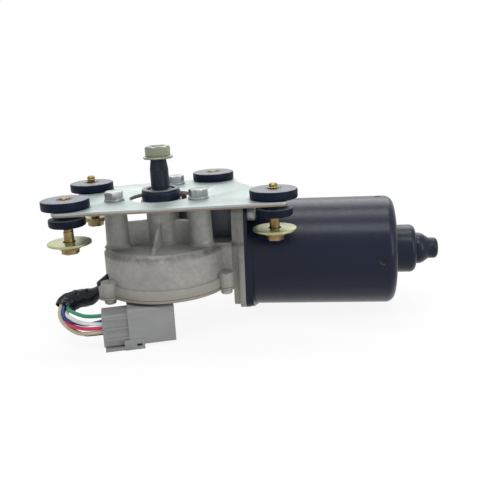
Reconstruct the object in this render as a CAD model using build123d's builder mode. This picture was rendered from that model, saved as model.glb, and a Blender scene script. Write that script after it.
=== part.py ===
from build123d import *
from math import acos, atan2, cos, degrees, pi, radians, sin, sqrt, tan
import os

# Windscreen wiper motor: a permanent-magnet motor, a worm gearbox and a mounting plate on four rubber cushions.
# All sizes are in millimetres. The origin is on the output shaft's axis, level with the cushions' top faces,
# which are the faces that bear on the vehicle. +Z points out of the output shaft and +X along the motor.

os.makedirs("parts", exist_ok=True)

# Clearances
touch = 0.02          # between pieces that are pressed or screwed together
running = 0.05        # radial, between a shaft and its bush
loose = 0.3           # radial, round a loose bolt or a rubber neck

# Rubber cushions and their sleeves
cushion_spots = {"left_front": (-48.8, -29.2), "right_front": (68.6, -14.7),
                 "left_rear": (-52.2, 27.6), "right_rear": (23.3, 56.6)}
cushion_d = 27.5
cushion_height = 5.5
cushion_neck_d = 15.0
cushion_neck_drop = 3.2
cushion_foot_d = 21.3
cushion_foot_height = 4.6
cushion_edge = 0.5
sleeve_wall = 1.3
sleeve_below_cushion = 1.1

# Mounting bolts, M6, and the wide washers of the two front ones
mount_bolt_d = 6.0
mount_bolt_length = 27.3
mount_bolt_flange_d = 12.5
mount_bolt_flange_height = 2.0
mount_bolt_head_height = 3.5
mount_bolt_tip_chamfer = 0.8
m6_head_across_flats = 10.0
m6_head_height = 4.3
mount_bolt_tips = {"left_front": 1.0, "right_front": 3.0, "left_rear": 4.1, "right_rear": 0.7}
mount_washer_d = 25.4
mount_washer_height = 1.5
washer_bore_clearance = 0.75
washer_spots = ("left_front", "right_front")

# Mounting plate
plate_height = 2.3
plate_hole_r = 19.0
plate_corner_r = 3.0
plate_outline = [(-53.8, -39.6), (-49.2, -43.8), (77.0, -28.2), (75.5, -2.5), (51.2, 26.4), (41.5, 44.2), (35.5, 64.5),
                 (12.5, 64.5), (7.0, 56.3), (-5.2, 55.0), (-28.1, 46.1), (-39.6, 42.0), (-58.5, 41.0)]
slot_open_to = {"left_front": 180.0, "right_front": 0.0, "left_rear": 180.0, "right_rear": 90.0}
slot_reach = 24.0

# Screws that hold the plate to the gear housing
plate_screw_spots = [(-26.2, -9.5), (24.4, -9.5), (0.0, 43.0)]
plate_screw_depth = 14.0
plate_screw_reach = 12.0
plate_screw_washer_d = 12.0
plate_screw_washer_height = 1.4

# Gear housing
housing_r = 37.0
housing_wall = 3.2
ledge_z = -33.3
cover_joint_z = -58.3
band_r = 38.5
band_height = 5.4
pillar_d = 13.0
pillar_draft = 1.5
foot_sink = 2.0
foot_flare = 2.0
foot_flare_angle = 40.0
shoulder_height = 3.6
shoulder_inset = 3.0
boss_d = 19.4
boss_seat_d = 24.6
boss_seat_height = 4.0
boss_rise = 0.6
web_thickness = 4.0
web_top_z = -19.2
gusset_thickness = 2.0
gusset_edge = 0.6
roof_thickness = 3.4
lug_r = 4.7
lug_height = 8.5
lug_spots = [(-28.4, -28.2), (38.2, -12.3), (-9.0, 39.0), (-38.0, 13.5)]
ear_spot = (-29.9, -26.6)
ear_r = 5.4
tunnel_wall = 2.4
tunnel_left_x = -34.0
tunnel_end_height = 4.0
worm_bush_gap = 0.5
flange_recess_edge = 6.0
bridge_front_y = -7.5
bridge_rear_y = 48.0
bridge_rear_spots = [(26.0, 48.0), (12.0, 42.0), (0, 40.0)]

# Cover, gasket and cover screws, M4
gasket_height = 0.5
cover_height = 1.5
m4_d = 4.0
m4_head_d = 7.0
m4_head_height = 2.8
m4_length = 8.0

# Motor: axis, flange and can
motor_y = 29.0
motor_z = -49.0
housing_flange_x = 41.8
housing_collar_x = 45.6
housing_flange_r = 33.0
parting_x = 49.0
flange_overhang = 1.1
flange_lug_r = 6.2
flange_lug_angle = 129.0
flange_corner_angle = 213.6
flange_corner_r = 6.0
flange_corner_offset = 3.5
can_flange_height = 4.6
can_sheet_height = 2.2
can_flange_step = 0.4
can_d = 67.4
can_wall = 2.0
can_end_x = 140.0
can_corner_r = 5.5
end_boss_d = 30.0
end_boss_x = 153.5
end_boss_corner_r = 3.5
end_cap_d = 19.5
end_cap_neck_d = 13.0
end_cap_dome_x = 162.0
end_cap_x = 167.5
dimple_d = 5.0
dimple_depth = 1.0
dimple_from_end = 9.0
dimple_angle = -3.0
can_screw_d = 5.0
can_screw_head_d = 9.0
can_screw_head_height = 3.6
can_screw_clearance = 1.5
spring_washer_height = 1.3

# Worm and wheel
module = 1.0
wheel_teeth = 48
worm_pitch_r = motor_y - module * wheel_teeth / 2
pressure_angle = radians(20)
tooth_addendum = 0.9 * module
tooth_dedendum = 1.15 * module
backlash = 0.2
worm_length = 27.0
wheel_width = 8.0
wheel_rim = 3.0
wheel_web = 3.6
wheel_hub_d = 19.0

# Output shaft, nut and bushes
shaft_d = 11.0
shaft_taper_top_d = 9.1
shaft_taper_height = 6.5
spindle_thread_d = 8.0
spindle_thread_height = 7.3
nut_seat_z = 17.5
nut_flange_d = 17.6
nut_flange_height = 1.2
nut_across_flats = 13.0
bush_wall = 1.5
upper_bush_height = 12.0
lower_bush_height = 11.0
thrust_washer_height = 0.8
thrust_washer_d = 17.0
shaft_foot_z = -56.6
circlip_height = 0.8
circlip_d = 14.5
seal_d = 23.2
seal_top_z = -1.3
seal_ring_height = 0.9
seal_ring_wall = 3.0

# Park switch
park_disc_height = 0.5
park_notch_angle = 36.0
park_notch_r = 14.5
contact_board_height = 1.6
contact_board_r = 23.0
contact_width = 2.6
contact_height = 0.4
contact_radii = (12.6, 17.2)

# Armature
armature_shaft_d = 8.0
armature_shaft_left_x = -27.4
armature_shaft_right_x = 150.8
worm_journal_d = 6.0
worm_neck_length = 3.5
worm_bush_length = 9.0
thrust_ball_d = 3.0
thrust_screw_d = 8.0
thrust_nut_height = 4.0
thrust_nut_across_flats = 13.0
rear_bush_length = 9.0
rear_bush_ball_r = 8.0
clip_offset = 3.2
clip_height = 1.2
front_bush_x = 33.0
front_bush_length = 10.0
motor_bush_wall = 4.0
commutator_r = 11.0
commutator_offset = 1.1
commutator_length = 13.2
commutator_bars = 12
commutator_slot_width = 0.6
commutator_slot_depth = 1.2
core_x = 74.0
core_length = 48.0
core_slots = 12
core_slot_width = 4.2
core_slot_mouth = 2.2
core_tooth_lip = 1.6
core_slot_floor_r = 11.0
winding_overhang = 8.0

# Magnets, brush card, brushes
magnet_height = 6.78
magnet_gap = 0.7
magnet_angle = 128.0
magnet_x = 70.0
magnet_length = 56.0
card_offset = 0.5
card_height = 2.0
card_hole_r = 13.5
brush_angles = (60.0, 240.0, 300.0)
brush_width = 5.0
brush_length_x = 7.0
brush_height = 9.0
brush_offset = 5.3
holder_wall = 0.8
holder_to_can = 2.7
brush_spring_d = 4.4
spring_wire_d = 0.6

# Terminal cover on the housing flange
terminal_cover_x = 22.0
terminal_cover_y = (6.0, 44.0)
terminal_cover_top_z = -12.5
terminal_cover_wall = 1.6

# Lead: grommet, sleeve, wires and connector
grommet_spot = (-33.8, -17.0, -54.6)
grommet_aim = (-0.8, 0.0, -0.6)
grommet_d = 9.0
grommet_length = 5.0
grommet_projection = 4.0
sleeve_tube_d = 9.6
sleeve_tube_wall = 0.5
sleeve_tube_mouth = 5.0
wire_d = 2.2
wire_lead_out = 6.0
wire_lead_in = 8.0
connector_corner = (-28.5, -47.2)
connector_turn = 17.7
connector_size = (41.0, 19.0)
connector_foot_z = -86.0
connector_bottom_z = -84.2
connector_top_z = -62.0
connector_back_length = 14.5
connector_back_inset = 1.6
connector_back_drop = 2.6
connector_corner_r = 2.0
connector_rib_levels = (-6.0, 0.5, 6.5)
connector_rib_height = 1.0
connector_rib_inset = 0.4
connector_rib_setback = 1.5
connector_rail_x = 0.7
connector_rail_length = 22.2
connector_rail_width = 9.0
connector_pad_x = 11.5
connector_pad_top_z = -80.0
connector_pad_height = 0.9
connector_notch = (3.0, 1.6)
connector_wall = 1.5
connector_socket_depth = 21.0
terminal_pin = (0.8, 2.4)
terminal_pitch = (6.0, 5.5)
terminal_length = 12.0

# Levels and places that follow from the sizes above
plate_top_z = -cushion_height
plate_foot_z = plate_top_z - plate_height
neck_foot_z = plate_foot_z - cushion_neck_drop
sleeve_foot_z = neck_foot_z - cushion_foot_height - sleeve_below_cushion
sleeve_bore_d = mount_bolt_d + 2 * loose
sleeve_d = sleeve_bore_d + 2 * sleeve_wall
slot_width = cushion_neck_d + 2 * loose
washer_bore_d = mount_bolt_d + 2 * washer_bore_clearance
boss_top_z = plate_foot_z + boss_rise
shoulder_z = ledge_z - shoulder_height
worm_tip_r = worm_pitch_r + tooth_addendum
worm_root_r = worm_pitch_r - tooth_dedendum
tunnel_bore_r = worm_tip_r + 1.0
tunnel_r = tunnel_bore_r + tunnel_wall
wheel_tip_r = module * wheel_teeth / 2 + tooth_addendum
wheel_bottom_z = motor_z - wheel_width / 2
bush_d = shaft_d + 2 * running + 2 * bush_wall
cavity_r = housing_r - housing_wall
ceiling_z = ledge_z - roof_thickness
bridge_top_z = ledge_z
hub_top_z = wheel_bottom_z + wheel_width + 0.8
inner_boss_z = hub_top_z + thrust_washer_height + 2 * running
cover_top_z = cover_joint_z - gasket_height
cover_foot_z = cover_top_z - cover_height
can_r = can_d / 2
flange_r = can_r + flange_overhang
core_bore_r = armature_shaft_d / 2
magnet_outer_r = can_r - can_wall - touch
magnet_inner_r = magnet_outer_r - magnet_height
core_r = magnet_inner_r - magnet_gap
card_x = parting_x + card_offset
brush_x = card_x + card_height + brush_offset
commutator_x = card_x + card_height + commutator_offset
holder_outer_r = can_r - can_wall - holder_to_can


def label_and_export(piece, name):
    """Label a finished piece and write its STEP file."""
    piece.part.label = name
    export_step(piece.part, f"parts/{name}.step")


def motor_axis(x):
    """Plane across the motor axis at x: local x is +Y, local y is +Z, and its origin is on the axis."""
    return Plane(origin=(x, motor_y, motor_z), x_dir=(0, 1, 0), z_dir=(1, 0, 0))


# Rubber cushion: a wide head, a neck in the plate's slot and a narrower foot, moulded in one piece
for name, spot in cushion_spots.items():
    with BuildPart() as cushion:
        with BuildSketch(Plane.XY) as cushion_head:
            with Locations(spot):
                Circle(cushion_d / 2)
        extrude(amount=-cushion_height)
        with BuildSketch(Plane.XY.offset(plate_top_z)):
            with Locations(spot):
                Circle(cushion_neck_d / 2)
        extrude(amount=neck_foot_z - plate_top_z)
        with BuildSketch(Plane.XY.offset(neck_foot_z)):
            with Locations(spot):
                Circle(cushion_foot_d / 2)
        extrude(amount=-cushion_foot_height)
        rims = cushion.edges().filter_by(GeomType.CIRCLE).filter_by(lambda e: e.radius > cushion_neck_d / 2 + 0.1)
        fillet(rims, cushion_edge)
        with Locations((*spot, 0)):
            Hole(sleeve_d / 2 + touch)
    label_and_export(cushion, f"cushion_{name}")

    # Mounting bolt, hanging in its sleeve with the head below
    tip_z = mount_bolt_tips[name]
    head_z = tip_z - mount_bolt_length
    with BuildPart() as mount_bolt:
        with BuildSketch(Plane.XY.offset(tip_z)):
            with Locations(spot):
                Circle(mount_bolt_d / 2)
        extrude(amount=-mount_bolt_length)
        chamfer(mount_bolt.faces().sort_by(Axis.Z)[-1].edges(), mount_bolt_tip_chamfer)
        with BuildSketch(Plane.XY.offset(head_z)):
            with Locations(spot):
                Circle(mount_bolt_flange_d / 2)
        extrude(amount=-mount_bolt_flange_height)
        with BuildSketch(Plane.XY.offset(head_z - mount_bolt_flange_height)):
            with Locations(spot):
                RegularPolygon(m6_head_across_flats / 2, 6, major_radius=False)
        extrude(amount=-mount_bolt_head_height)
    label_and_export(mount_bolt, f"mounting_bolt_{name}")

    if name in washer_spots:
        with BuildPart() as mount_washer:
            with BuildSketch(Plane.XY.offset(head_z)):
                with Locations(spot):
                    Circle(mount_washer_d / 2)
                    Circle(washer_bore_d / 2, mode=Mode.SUBTRACT)
            extrude(amount=mount_washer_height)
        label_and_export(mount_washer, f"mounting_washer_{name}")

# Steel sleeves that the bolts pass through, and that stop the cushions from being crushed
with BuildPart() as cushion_sleeves:
    with BuildSketch(Plane.XY):
        with Locations(*cushion_spots.values()):
            Circle(sleeve_d / 2)
            Circle(sleeve_bore_d / 2, mode=Mode.SUBTRACT)
    extrude(amount=sleeve_foot_z)
label_and_export(cushion_sleeves, "cushion_sleeves")

# Mounting plate: pressed sheet with four open slots for the cushions
with BuildPart() as mounting_plate:
    with BuildSketch(Plane.XY.offset(plate_top_z)) as plate_sketch:
        with BuildLine():
            Polyline(*plate_outline, close=True)
        make_face()
        fillet(plate_sketch.vertices(), plate_corner_r)
        Circle(plate_hole_r, mode=Mode.SUBTRACT)
        with Locations(*plate_screw_spots):
            Circle(mount_bolt_d / 2 + loose, mode=Mode.SUBTRACT)
        for name, spot in cushion_spots.items():
            turn = slot_open_to[name]
            slot_mid = (spot[0] + slot_reach / 2 * cos(radians(turn)), spot[1] + slot_reach / 2 * sin(radians(turn)))
            with Locations(slot_mid):
                SlotCenterToCenter(slot_reach, slot_width, rotation=turn, mode=Mode.SUBTRACT)
    extrude(amount=-plate_height)
label_and_export(mounting_plate, "mounting_plate")

# Hexagon screws and washers that hold the plate down on the housing's pillars
with BuildPart() as plate_screws:
    with BuildSketch(Plane.XY.offset(plate_top_z + plate_screw_washer_height)):
        with Locations(*plate_screw_spots):
            RegularPolygon(m6_head_across_flats / 2, 6, major_radius=False)
    extrude(amount=m6_head_height)
    with BuildSketch(Plane.XY.offset(plate_top_z + plate_screw_washer_height)):
        with Locations(*plate_screw_spots):
            Circle(mount_bolt_d / 2)
    extrude(amount=-plate_screw_washer_height - plate_height - plate_screw_reach)
label_and_export(plate_screws, "plate_screws")

with BuildPart() as plate_screw_washers:
    with BuildSketch(Plane.XY.offset(plate_top_z)):
        with Locations(*plate_screw_spots):
            Circle(plate_screw_washer_d / 2)
            Circle(mount_bolt_d / 2 + touch, mode=Mode.SUBTRACT)
    extrude(amount=plate_screw_washer_height)
label_and_export(plate_screw_washers, "plate_screw_washers")


def housing_foot():
    """Outline of the housing's joint with the cover, drawn in the current sketch."""
    Circle(band_r)
    with Locations(*lug_spots):
        Circle(lug_r)
    with Locations(ear_spot):
        Circle(ear_r)


def opposite_spots(reach, angle):
    """Two spots across the motor axis from each other, at a reach and an angle in the plane of motor_axis."""
    x, y = reach * cos(radians(angle)), reach * sin(radians(angle))
    return [(x, y), (-x, -y)]


screw_lugs = opposite_spots(can_r + can_screw_head_d / 2 + can_screw_clearance, flange_lug_angle)
flange_corners = opposite_spots(can_r + flange_corner_offset, flange_corner_angle)


def flange_outline(r, lugs):
    """Motor flange: a round body with two corners, and two bolt lugs where asked, drawn in the current sketch."""
    Circle(r)
    with Locations(*flange_corners):
        Circle(r + flange_corner_r - flange_r)
    if lugs:
        with Locations(*screw_lugs):
            Circle(flange_lug_r)
    make_hull()


grommet_plane = Plane(origin=grommet_spot, z_dir=grommet_aim)
notch_d = sleeve_tube_d + 2 * loose

# Gear housing: one die casting with drum, pillars, webs, worm tunnel and motor flange
with BuildPart() as gear_housing:
    with BuildSketch(Plane.XY.offset(cover_joint_z)):
        Circle(housing_r)
    extrude(amount=shoulder_z - cover_joint_z)
    with BuildSketch(Plane.XY.offset(shoulder_z)):
        Circle(housing_r)
    extrude(amount=shoulder_height, taper=degrees(atan2(shoulder_inset, shoulder_height)))
    with BuildSketch(Plane.XY.offset(cover_joint_z)):
        housing_foot()
    extrude(amount=band_height)
    with BuildSketch(Plane.XY.offset(cover_joint_z)):
        with Locations(*lug_spots):
            Circle(lug_r)
    extrude(amount=lug_height)
    # Bridge between the drum and the motor flange
    with BuildSketch(Plane.XY.offset(cover_joint_z)):
        with BuildLine():
            Polyline((0, bridge_front_y), (housing_flange_x, bridge_front_y), (housing_flange_x, bridge_rear_y),
                     *bridge_rear_spots, close=True)
        make_face()
    extrude(amount=bridge_top_z - cover_joint_z)
    # Worm tunnel
    with BuildSketch(motor_axis(tunnel_left_x)):
        Circle(tunnel_r)
    extrude(amount=housing_flange_x - tunnel_left_x)
    # Pillars under the plate, tapered upwards, with flared feet
    with BuildSketch(Plane.XY.offset(ledge_z - foot_sink)):
        with Locations(*plate_screw_spots):
            Circle(pillar_d / 2 + (plate_foot_z - ledge_z + foot_sink) * tan(radians(pillar_draft)))
    extrude(amount=plate_foot_z - ledge_z + foot_sink, taper=pillar_draft)
    with BuildSketch(Plane.XY.offset(ledge_z)):
        with Locations(*plate_screw_spots):
            Circle(pillar_d / 2 + foot_flare)
    extrude(amount=foot_flare, taper=foot_flare_angle)
    # Centre boss and its wider seat for the seal
    with BuildSketch(Plane.XY.offset(ledge_z)):
        Circle(boss_d / 2)
    extrude(amount=boss_top_z - ledge_z)
    with BuildSketch(Plane.XY.offset(ledge_z)):
        Circle(boss_d / 2 + foot_flare)
    extrude(amount=foot_flare, taper=foot_flare_angle)
    with BuildSketch(Plane.XY.offset(boss_top_z - boss_seat_height)):
        Circle(boss_seat_d / 2)
    extrude(amount=boss_seat_height)
    # Webs from the boss to the pillars
    with BuildSketch(Plane.XY.offset(ledge_z - 1)):
        for spot in plate_screw_spots:
            with Locations((spot[0] / 2, spot[1] / 2)):
                Rectangle(sqrt(spot[0] ** 2 + spot[1] ** 2), web_thickness,
                          rotation=degrees(atan2(spot[1], spot[0])))
    extrude(amount=web_top_z - ledge_z + 1)
    # Front gusset
    with BuildSketch(Plane.YZ):
        with BuildLine():
            Polyline((0, web_top_z), (-boss_d / 2, web_top_z), (-housing_r + gusset_edge, shoulder_z),
                     (0, shoulder_z), close=True)
        make_face()
    extrude(amount=gusset_thickness / 2, both=True)
    # Motor flange
    with BuildSketch(motor_axis(housing_flange_x)):
        flange_outline(housing_flange_r, True)
    extrude(amount=housing_collar_x - housing_flange_x)
    with BuildSketch(motor_axis(housing_collar_x)):
        flange_outline(flange_r, True)
    extrude(amount=parting_x - housing_collar_x)
    # Gear chamber, worm bore, bush seat and the recess behind the flange
    with BuildSketch(Plane.XY.offset(cover_joint_z)):
        Circle(cavity_r)
    extrude(amount=ceiling_z - cover_joint_z, mode=Mode.SUBTRACT)
    with BuildSketch(motor_axis(tunnel_left_x + tunnel_end_height)):
        Circle(tunnel_bore_r)
    extrude(amount=front_bush_x - tunnel_left_x - tunnel_end_height, mode=Mode.SUBTRACT)
    with BuildSketch(motor_axis(front_bush_x)):
        Circle(core_bore_r + running + motor_bush_wall + touch)
    extrude(amount=parting_x - front_bush_x, mode=Mode.SUBTRACT)
    with BuildSketch(motor_axis(front_bush_x + front_bush_length)):
        Circle(can_r - can_wall - flange_recess_edge)
    extrude(amount=parting_x - front_bush_x - front_bush_length, mode=Mode.SUBTRACT)
    with BuildSketch(motor_axis(tunnel_left_x)):
        Circle(thrust_screw_d / 2 + touch)
    extrude(amount=tunnel_end_height, mode=Mode.SUBTRACT)
    # Inner boss round the lower bush
    with BuildSketch(Plane.XY.offset(inner_boss_z)):
        Circle(boss_d / 2)
    extrude(amount=ceiling_z - inner_boss_z + 1)
    # Shaft bore
    with BuildSketch(Plane.XY.offset(inner_boss_z)):
        Circle(bush_d / 2 + touch)
    extrude(amount=boss_top_z - inner_boss_z, mode=Mode.SUBTRACT)
    # Threaded holes for the plate screws, the cover screws and the can screws
    with BuildSketch(Plane.XY.offset(plate_foot_z)):
        with Locations(*plate_screw_spots):
            Circle(mount_bolt_d / 2 + touch)
    extrude(amount=-plate_screw_depth, mode=Mode.SUBTRACT)
    with BuildSketch(Plane.XY.offset(cover_joint_z)):
        with Locations(*lug_spots):
            Circle(m4_d / 2 + touch)
    extrude(amount=m4_length - cover_height - gasket_height + 1, mode=Mode.SUBTRACT)
    with BuildSketch(motor_axis(housing_flange_x)):
        with Locations(*screw_lugs):
            Circle(can_screw_d / 2 + touch)
    extrude(amount=parting_x - housing_flange_x, mode=Mode.SUBTRACT)
    # Opening for the lead's grommet
    with BuildSketch(grommet_plane.offset(-grommet_length)):
        Circle(grommet_d / 2 + touch)
    extrude(amount=4 * grommet_length, mode=Mode.SUBTRACT)
    with BuildSketch(grommet_plane.offset(grommet_projection - loose)):
        Circle(notch_d / 2)
    extrude(amount=grommet_d, mode=Mode.SUBTRACT)
label_and_export(gear_housing, "gear_housing")

# Gear cover, its paper gasket and its screws; both are notched round the lead's grommet
with BuildPart() as cover_gasket:
    with BuildSketch(Plane.XY.offset(cover_joint_z)):
        housing_foot()
        Circle(cavity_r, mode=Mode.SUBTRACT)
        with Locations(*lug_spots):
            Circle(m4_d / 2 + loose, mode=Mode.SUBTRACT)
    extrude(amount=-gasket_height)
    with BuildSketch(grommet_plane.offset(-grommet_length)):
        Circle(notch_d / 2)
    extrude(amount=4 * grommet_length, mode=Mode.SUBTRACT)
label_and_export(cover_gasket, "cover_gasket")

with BuildPart() as gear_cover:
    with BuildSketch(Plane.XY.offset(cover_top_z)):
        housing_foot()
    extrude(amount=-cover_height)
    with BuildSketch(Plane.XY.offset(cover_top_z)):
        with Locations(*lug_spots):
            Circle(m4_d / 2 + loose)
    extrude(amount=-cover_height, mode=Mode.SUBTRACT)
    with BuildSketch(grommet_plane.offset(-grommet_length)):
        Circle(notch_d / 2)
    extrude(amount=4 * grommet_length, mode=Mode.SUBTRACT)
label_and_export(gear_cover, "gear_cover")

with BuildPart() as cover_screws:
    with BuildSketch(Plane.XY.offset(cover_foot_z)):
        with Locations(*lug_spots):
            Circle(m4_head_d / 2)
    extrude(amount=-m4_head_height)
    fillet(cover_screws.faces().group_by(Axis.Z)[0].edges(), 1.0)
    with BuildSketch(Plane.XY.offset(cover_foot_z)):
        with Locations(*lug_spots):
            Circle(m4_d / 2)
    extrude(amount=m4_length)
label_and_export(cover_screws, "cover_screws")

# Motor can: drawn steel cup with a bolt flange at the housing and a bearing boss at the far end
can_axis = Axis((0, motor_y, motor_z), (1, 0, 0))
can_section = Plane(origin=(0, motor_y, motor_z), x_dir=(1, 0, 0), z_dir=(0, -1, 0))
end_boss_r = end_boss_d / 2
cap_hole_r = end_cap_neck_d / 2 - 2.5
with BuildPart() as motor_can:
    with BuildSketch(can_section) as can_outside:
        with BuildLine():
            Polyline((parting_x, 0), (parting_x, can_r), (can_end_x, can_r), (can_end_x, end_boss_r),
                     (end_boss_x, end_boss_r), (end_boss_x, 0), close=True)
        make_face()
        fillet(can_outside.vertices().sort_by_distance(Vertex(can_end_x, can_r))[0], can_corner_r)
        fillet(can_outside.vertices().sort_by_distance(Vertex(end_boss_x, end_boss_r))[0], end_boss_corner_r)
    revolve(axis=can_axis)
    with BuildSketch(motor_axis(parting_x)):
        flange_outline(flange_r, True)
    extrude(amount=can_sheet_height)
    with BuildSketch(motor_axis(parting_x + can_sheet_height)):
        flange_outline(flange_r - can_flange_step, False)
    extrude(amount=can_flange_height - can_sheet_height)
    with BuildSketch(can_section) as can_inside:
        with BuildLine():
            Polyline((parting_x, 0), (parting_x, can_r - can_wall), (can_end_x - can_wall, can_r - can_wall),
                     (can_end_x - can_wall, end_boss_r - can_wall), (end_boss_x - can_wall, end_boss_r - can_wall),
                     (end_boss_x - can_wall, cap_hole_r), (end_boss_x, cap_hole_r), (end_boss_x, 0), close=True)
        make_face()
        fillet(can_inside.vertices().sort_by_distance(Vertex(can_end_x - can_wall, can_r - can_wall))[0],
               can_corner_r - can_wall)
    revolve(axis=can_axis, mode=Mode.SUBTRACT)
    with BuildSketch(motor_axis(parting_x)):
        with Locations(*screw_lugs):
            Circle(can_screw_d / 2 + loose)
    extrude(amount=can_flange_height, mode=Mode.SUBTRACT)
    # Four stamped dimples that locate the magnets
    dimple_ball_r = (dimple_d ** 2 / 4 + dimple_depth ** 2) / (2 * dimple_depth)
    with Locations(motor_axis(can_end_x - dimple_from_end)):
        with PolarLocations(can_r + dimple_ball_r - dimple_depth, 4, start_angle=dimple_angle):
            Sphere(dimple_ball_r, mode=Mode.SUBTRACT)
label_and_export(motor_can, "motor_can")

# End cap over the thrust end of the armature shaft
with BuildPart() as end_cap:
    with BuildSketch(can_section) as cap_profile:
        with BuildLine():
            neck_r = end_cap_neck_d / 2
            Polyline((end_cap_x, 0), (end_boss_x - can_wall, 0), (end_boss_x - can_wall, cap_hole_r - touch),
                     (end_boss_x, cap_hole_r - touch), (end_boss_x, end_cap_d / 2), (end_boss_x + 1.5, end_cap_d / 2))
            Spline((end_boss_x + 1.5, end_cap_d / 2), (end_cap_dome_x, neck_r), tangents=((1, 0), (1, -0.5)))
            Polyline((end_cap_dome_x, neck_r), (end_cap_x, neck_r), (end_cap_x, 0))
        make_face()
        fillet(cap_profile.vertices().sort_by_distance(Vertex(end_cap_x, neck_r))[0], 2.6)
    revolve(axis=can_axis)
label_and_export(end_cap, "end_cap")

# Screws and spring washers that hold the can to the housing
screw_seat_x = parting_x + can_sheet_height + spring_washer_height
with BuildPart() as can_screws:
    with BuildSketch(motor_axis(screw_seat_x)):
        with Locations(*screw_lugs):
            Circle(can_screw_head_d / 2)
    extrude(amount=can_screw_head_height)
    fillet(can_screws.faces().sort_by(Axis.X)[-2:].edges(), 1.2)
    with BuildSketch(motor_axis(screw_seat_x)):
        with Locations(*screw_lugs):
            Circle(can_screw_d / 2)
    extrude(amount=housing_flange_x - screw_seat_x + 0.5)
label_and_export(can_screws, "can_screws")

with BuildPart() as can_screw_washers:
    with BuildSketch(motor_axis(parting_x + can_sheet_height)):
        with Locations(*screw_lugs):
            Circle(can_screw_head_d / 2)
            Circle(can_screw_d / 2 + touch, mode=Mode.SUBTRACT)
    extrude(amount=spring_washer_height)
label_and_export(can_screw_washers, "can_screw_washers")

# Output shaft: journal, taper for the crank arm and threaded end
shaft_r = shaft_d / 2
taper_foot_z = nut_seat_z - shaft_taper_height
with BuildPart() as output_shaft:
    with BuildSketch(Plane.XZ) as shaft_profile:
        with BuildLine():
            Polyline((0, shaft_foot_z), (shaft_r, shaft_foot_z), (shaft_r, taper_foot_z),
                     (shaft_taper_top_d / 2, nut_seat_z), (spindle_thread_d / 2, nut_seat_z),
                     (spindle_thread_d / 2, nut_seat_z + spindle_thread_height - 0.8),
                     (spindle_thread_d / 2 - 0.8, nut_seat_z + spindle_thread_height),
                     (0, nut_seat_z + spindle_thread_height), close=True)
        make_face()
    revolve(axis=Axis.Z)
label_and_export(output_shaft, "output_shaft")

with BuildPart() as shaft_nut:
    with BuildSketch(Plane.XY.offset(nut_seat_z)):
        Circle(nut_flange_d / 2)
    extrude(amount=nut_flange_height)
    with BuildSketch(Plane.XY.offset(nut_seat_z + nut_flange_height)):
        RegularPolygon(nut_across_flats / 2, 6, major_radius=False, rotation=20)
    extrude(amount=spindle_thread_height - nut_flange_height)
    with BuildSketch(Plane.XY.offset(nut_seat_z)):
        Circle(spindle_thread_d / 2 + touch)
    extrude(amount=spindle_thread_height, mode=Mode.SUBTRACT)
label_and_export(shaft_nut, "shaft_nut")

# Sintered bushes of the output shaft
with BuildPart() as shaft_bushes:
    with BuildSketch(Plane.XY.offset(boss_top_z - 1)):
        Circle(bush_d / 2)
        Circle(shaft_r + running, mode=Mode.SUBTRACT)
    extrude(amount=-upper_bush_height)
    with BuildSketch(Plane.XY.offset(inner_boss_z)):
        Circle(bush_d / 2)
        Circle(shaft_r + running, mode=Mode.SUBTRACT)
    extrude(amount=lower_bush_height)
label_and_export(shaft_bushes, "shaft_bushes")

with BuildPart() as thrust_washer:
    with BuildSketch(Plane.XY.offset(hub_top_z + running)):
        Circle(thrust_washer_d / 2)
        Circle(shaft_r + running, mode=Mode.SUBTRACT)
    extrude(amount=thrust_washer_height)
label_and_export(thrust_washer, "thrust_washer")

# Shaft seal on the boss, with a steel ring on its top
with BuildPart() as shaft_seal:
    with BuildSketch(Plane.XY.offset(boss_top_z)):
        Circle(seal_d / 2)
        Circle(shaft_r + running, mode=Mode.SUBTRACT)
    extrude(amount=seal_top_z - boss_top_z)
    fillet(shaft_seal.edges().filter_by(GeomType.CIRCLE).group_by(Axis.Z)[0].sort_by(SortBy.RADIUS)[-1], 0.6)
label_and_export(shaft_seal, "shaft_seal")

with BuildPart() as seal_ring:
    with BuildSketch(Plane.XY.offset(seal_top_z)):
        Circle(seal_d / 2 - 0.3)
        Circle(seal_d / 2 - 0.3 - seal_ring_wall, mode=Mode.SUBTRACT)
    extrude(amount=seal_ring_height)
    chamfer(seal_ring.edges().filter_by(GeomType.CIRCLE).group_by(Axis.Z)[-1], 0.3)
label_and_export(seal_ring, "seal_ring")

# Worm wheel: helical teeth with involute flanks on a webbed, moulded rim
tooth_thickness = (pi * module - backlash) / 2
wheel_pitch_r = module * wheel_teeth / 2
base_r = wheel_pitch_r * cos(pressure_angle)
wheel_root_r = wheel_pitch_r - tooth_dedendum


def involute(angle):
    """Involute function of a pressure angle in radians."""
    return tan(angle) - angle


def half_tooth_angle(r):
    """Half the angle that a wheel tooth takes up at radius r, in radians."""
    flank = acos(min(1.0, base_r / r))
    return tooth_thickness / (2 * wheel_pitch_r) + involute(pressure_angle) - involute(flank)


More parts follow.
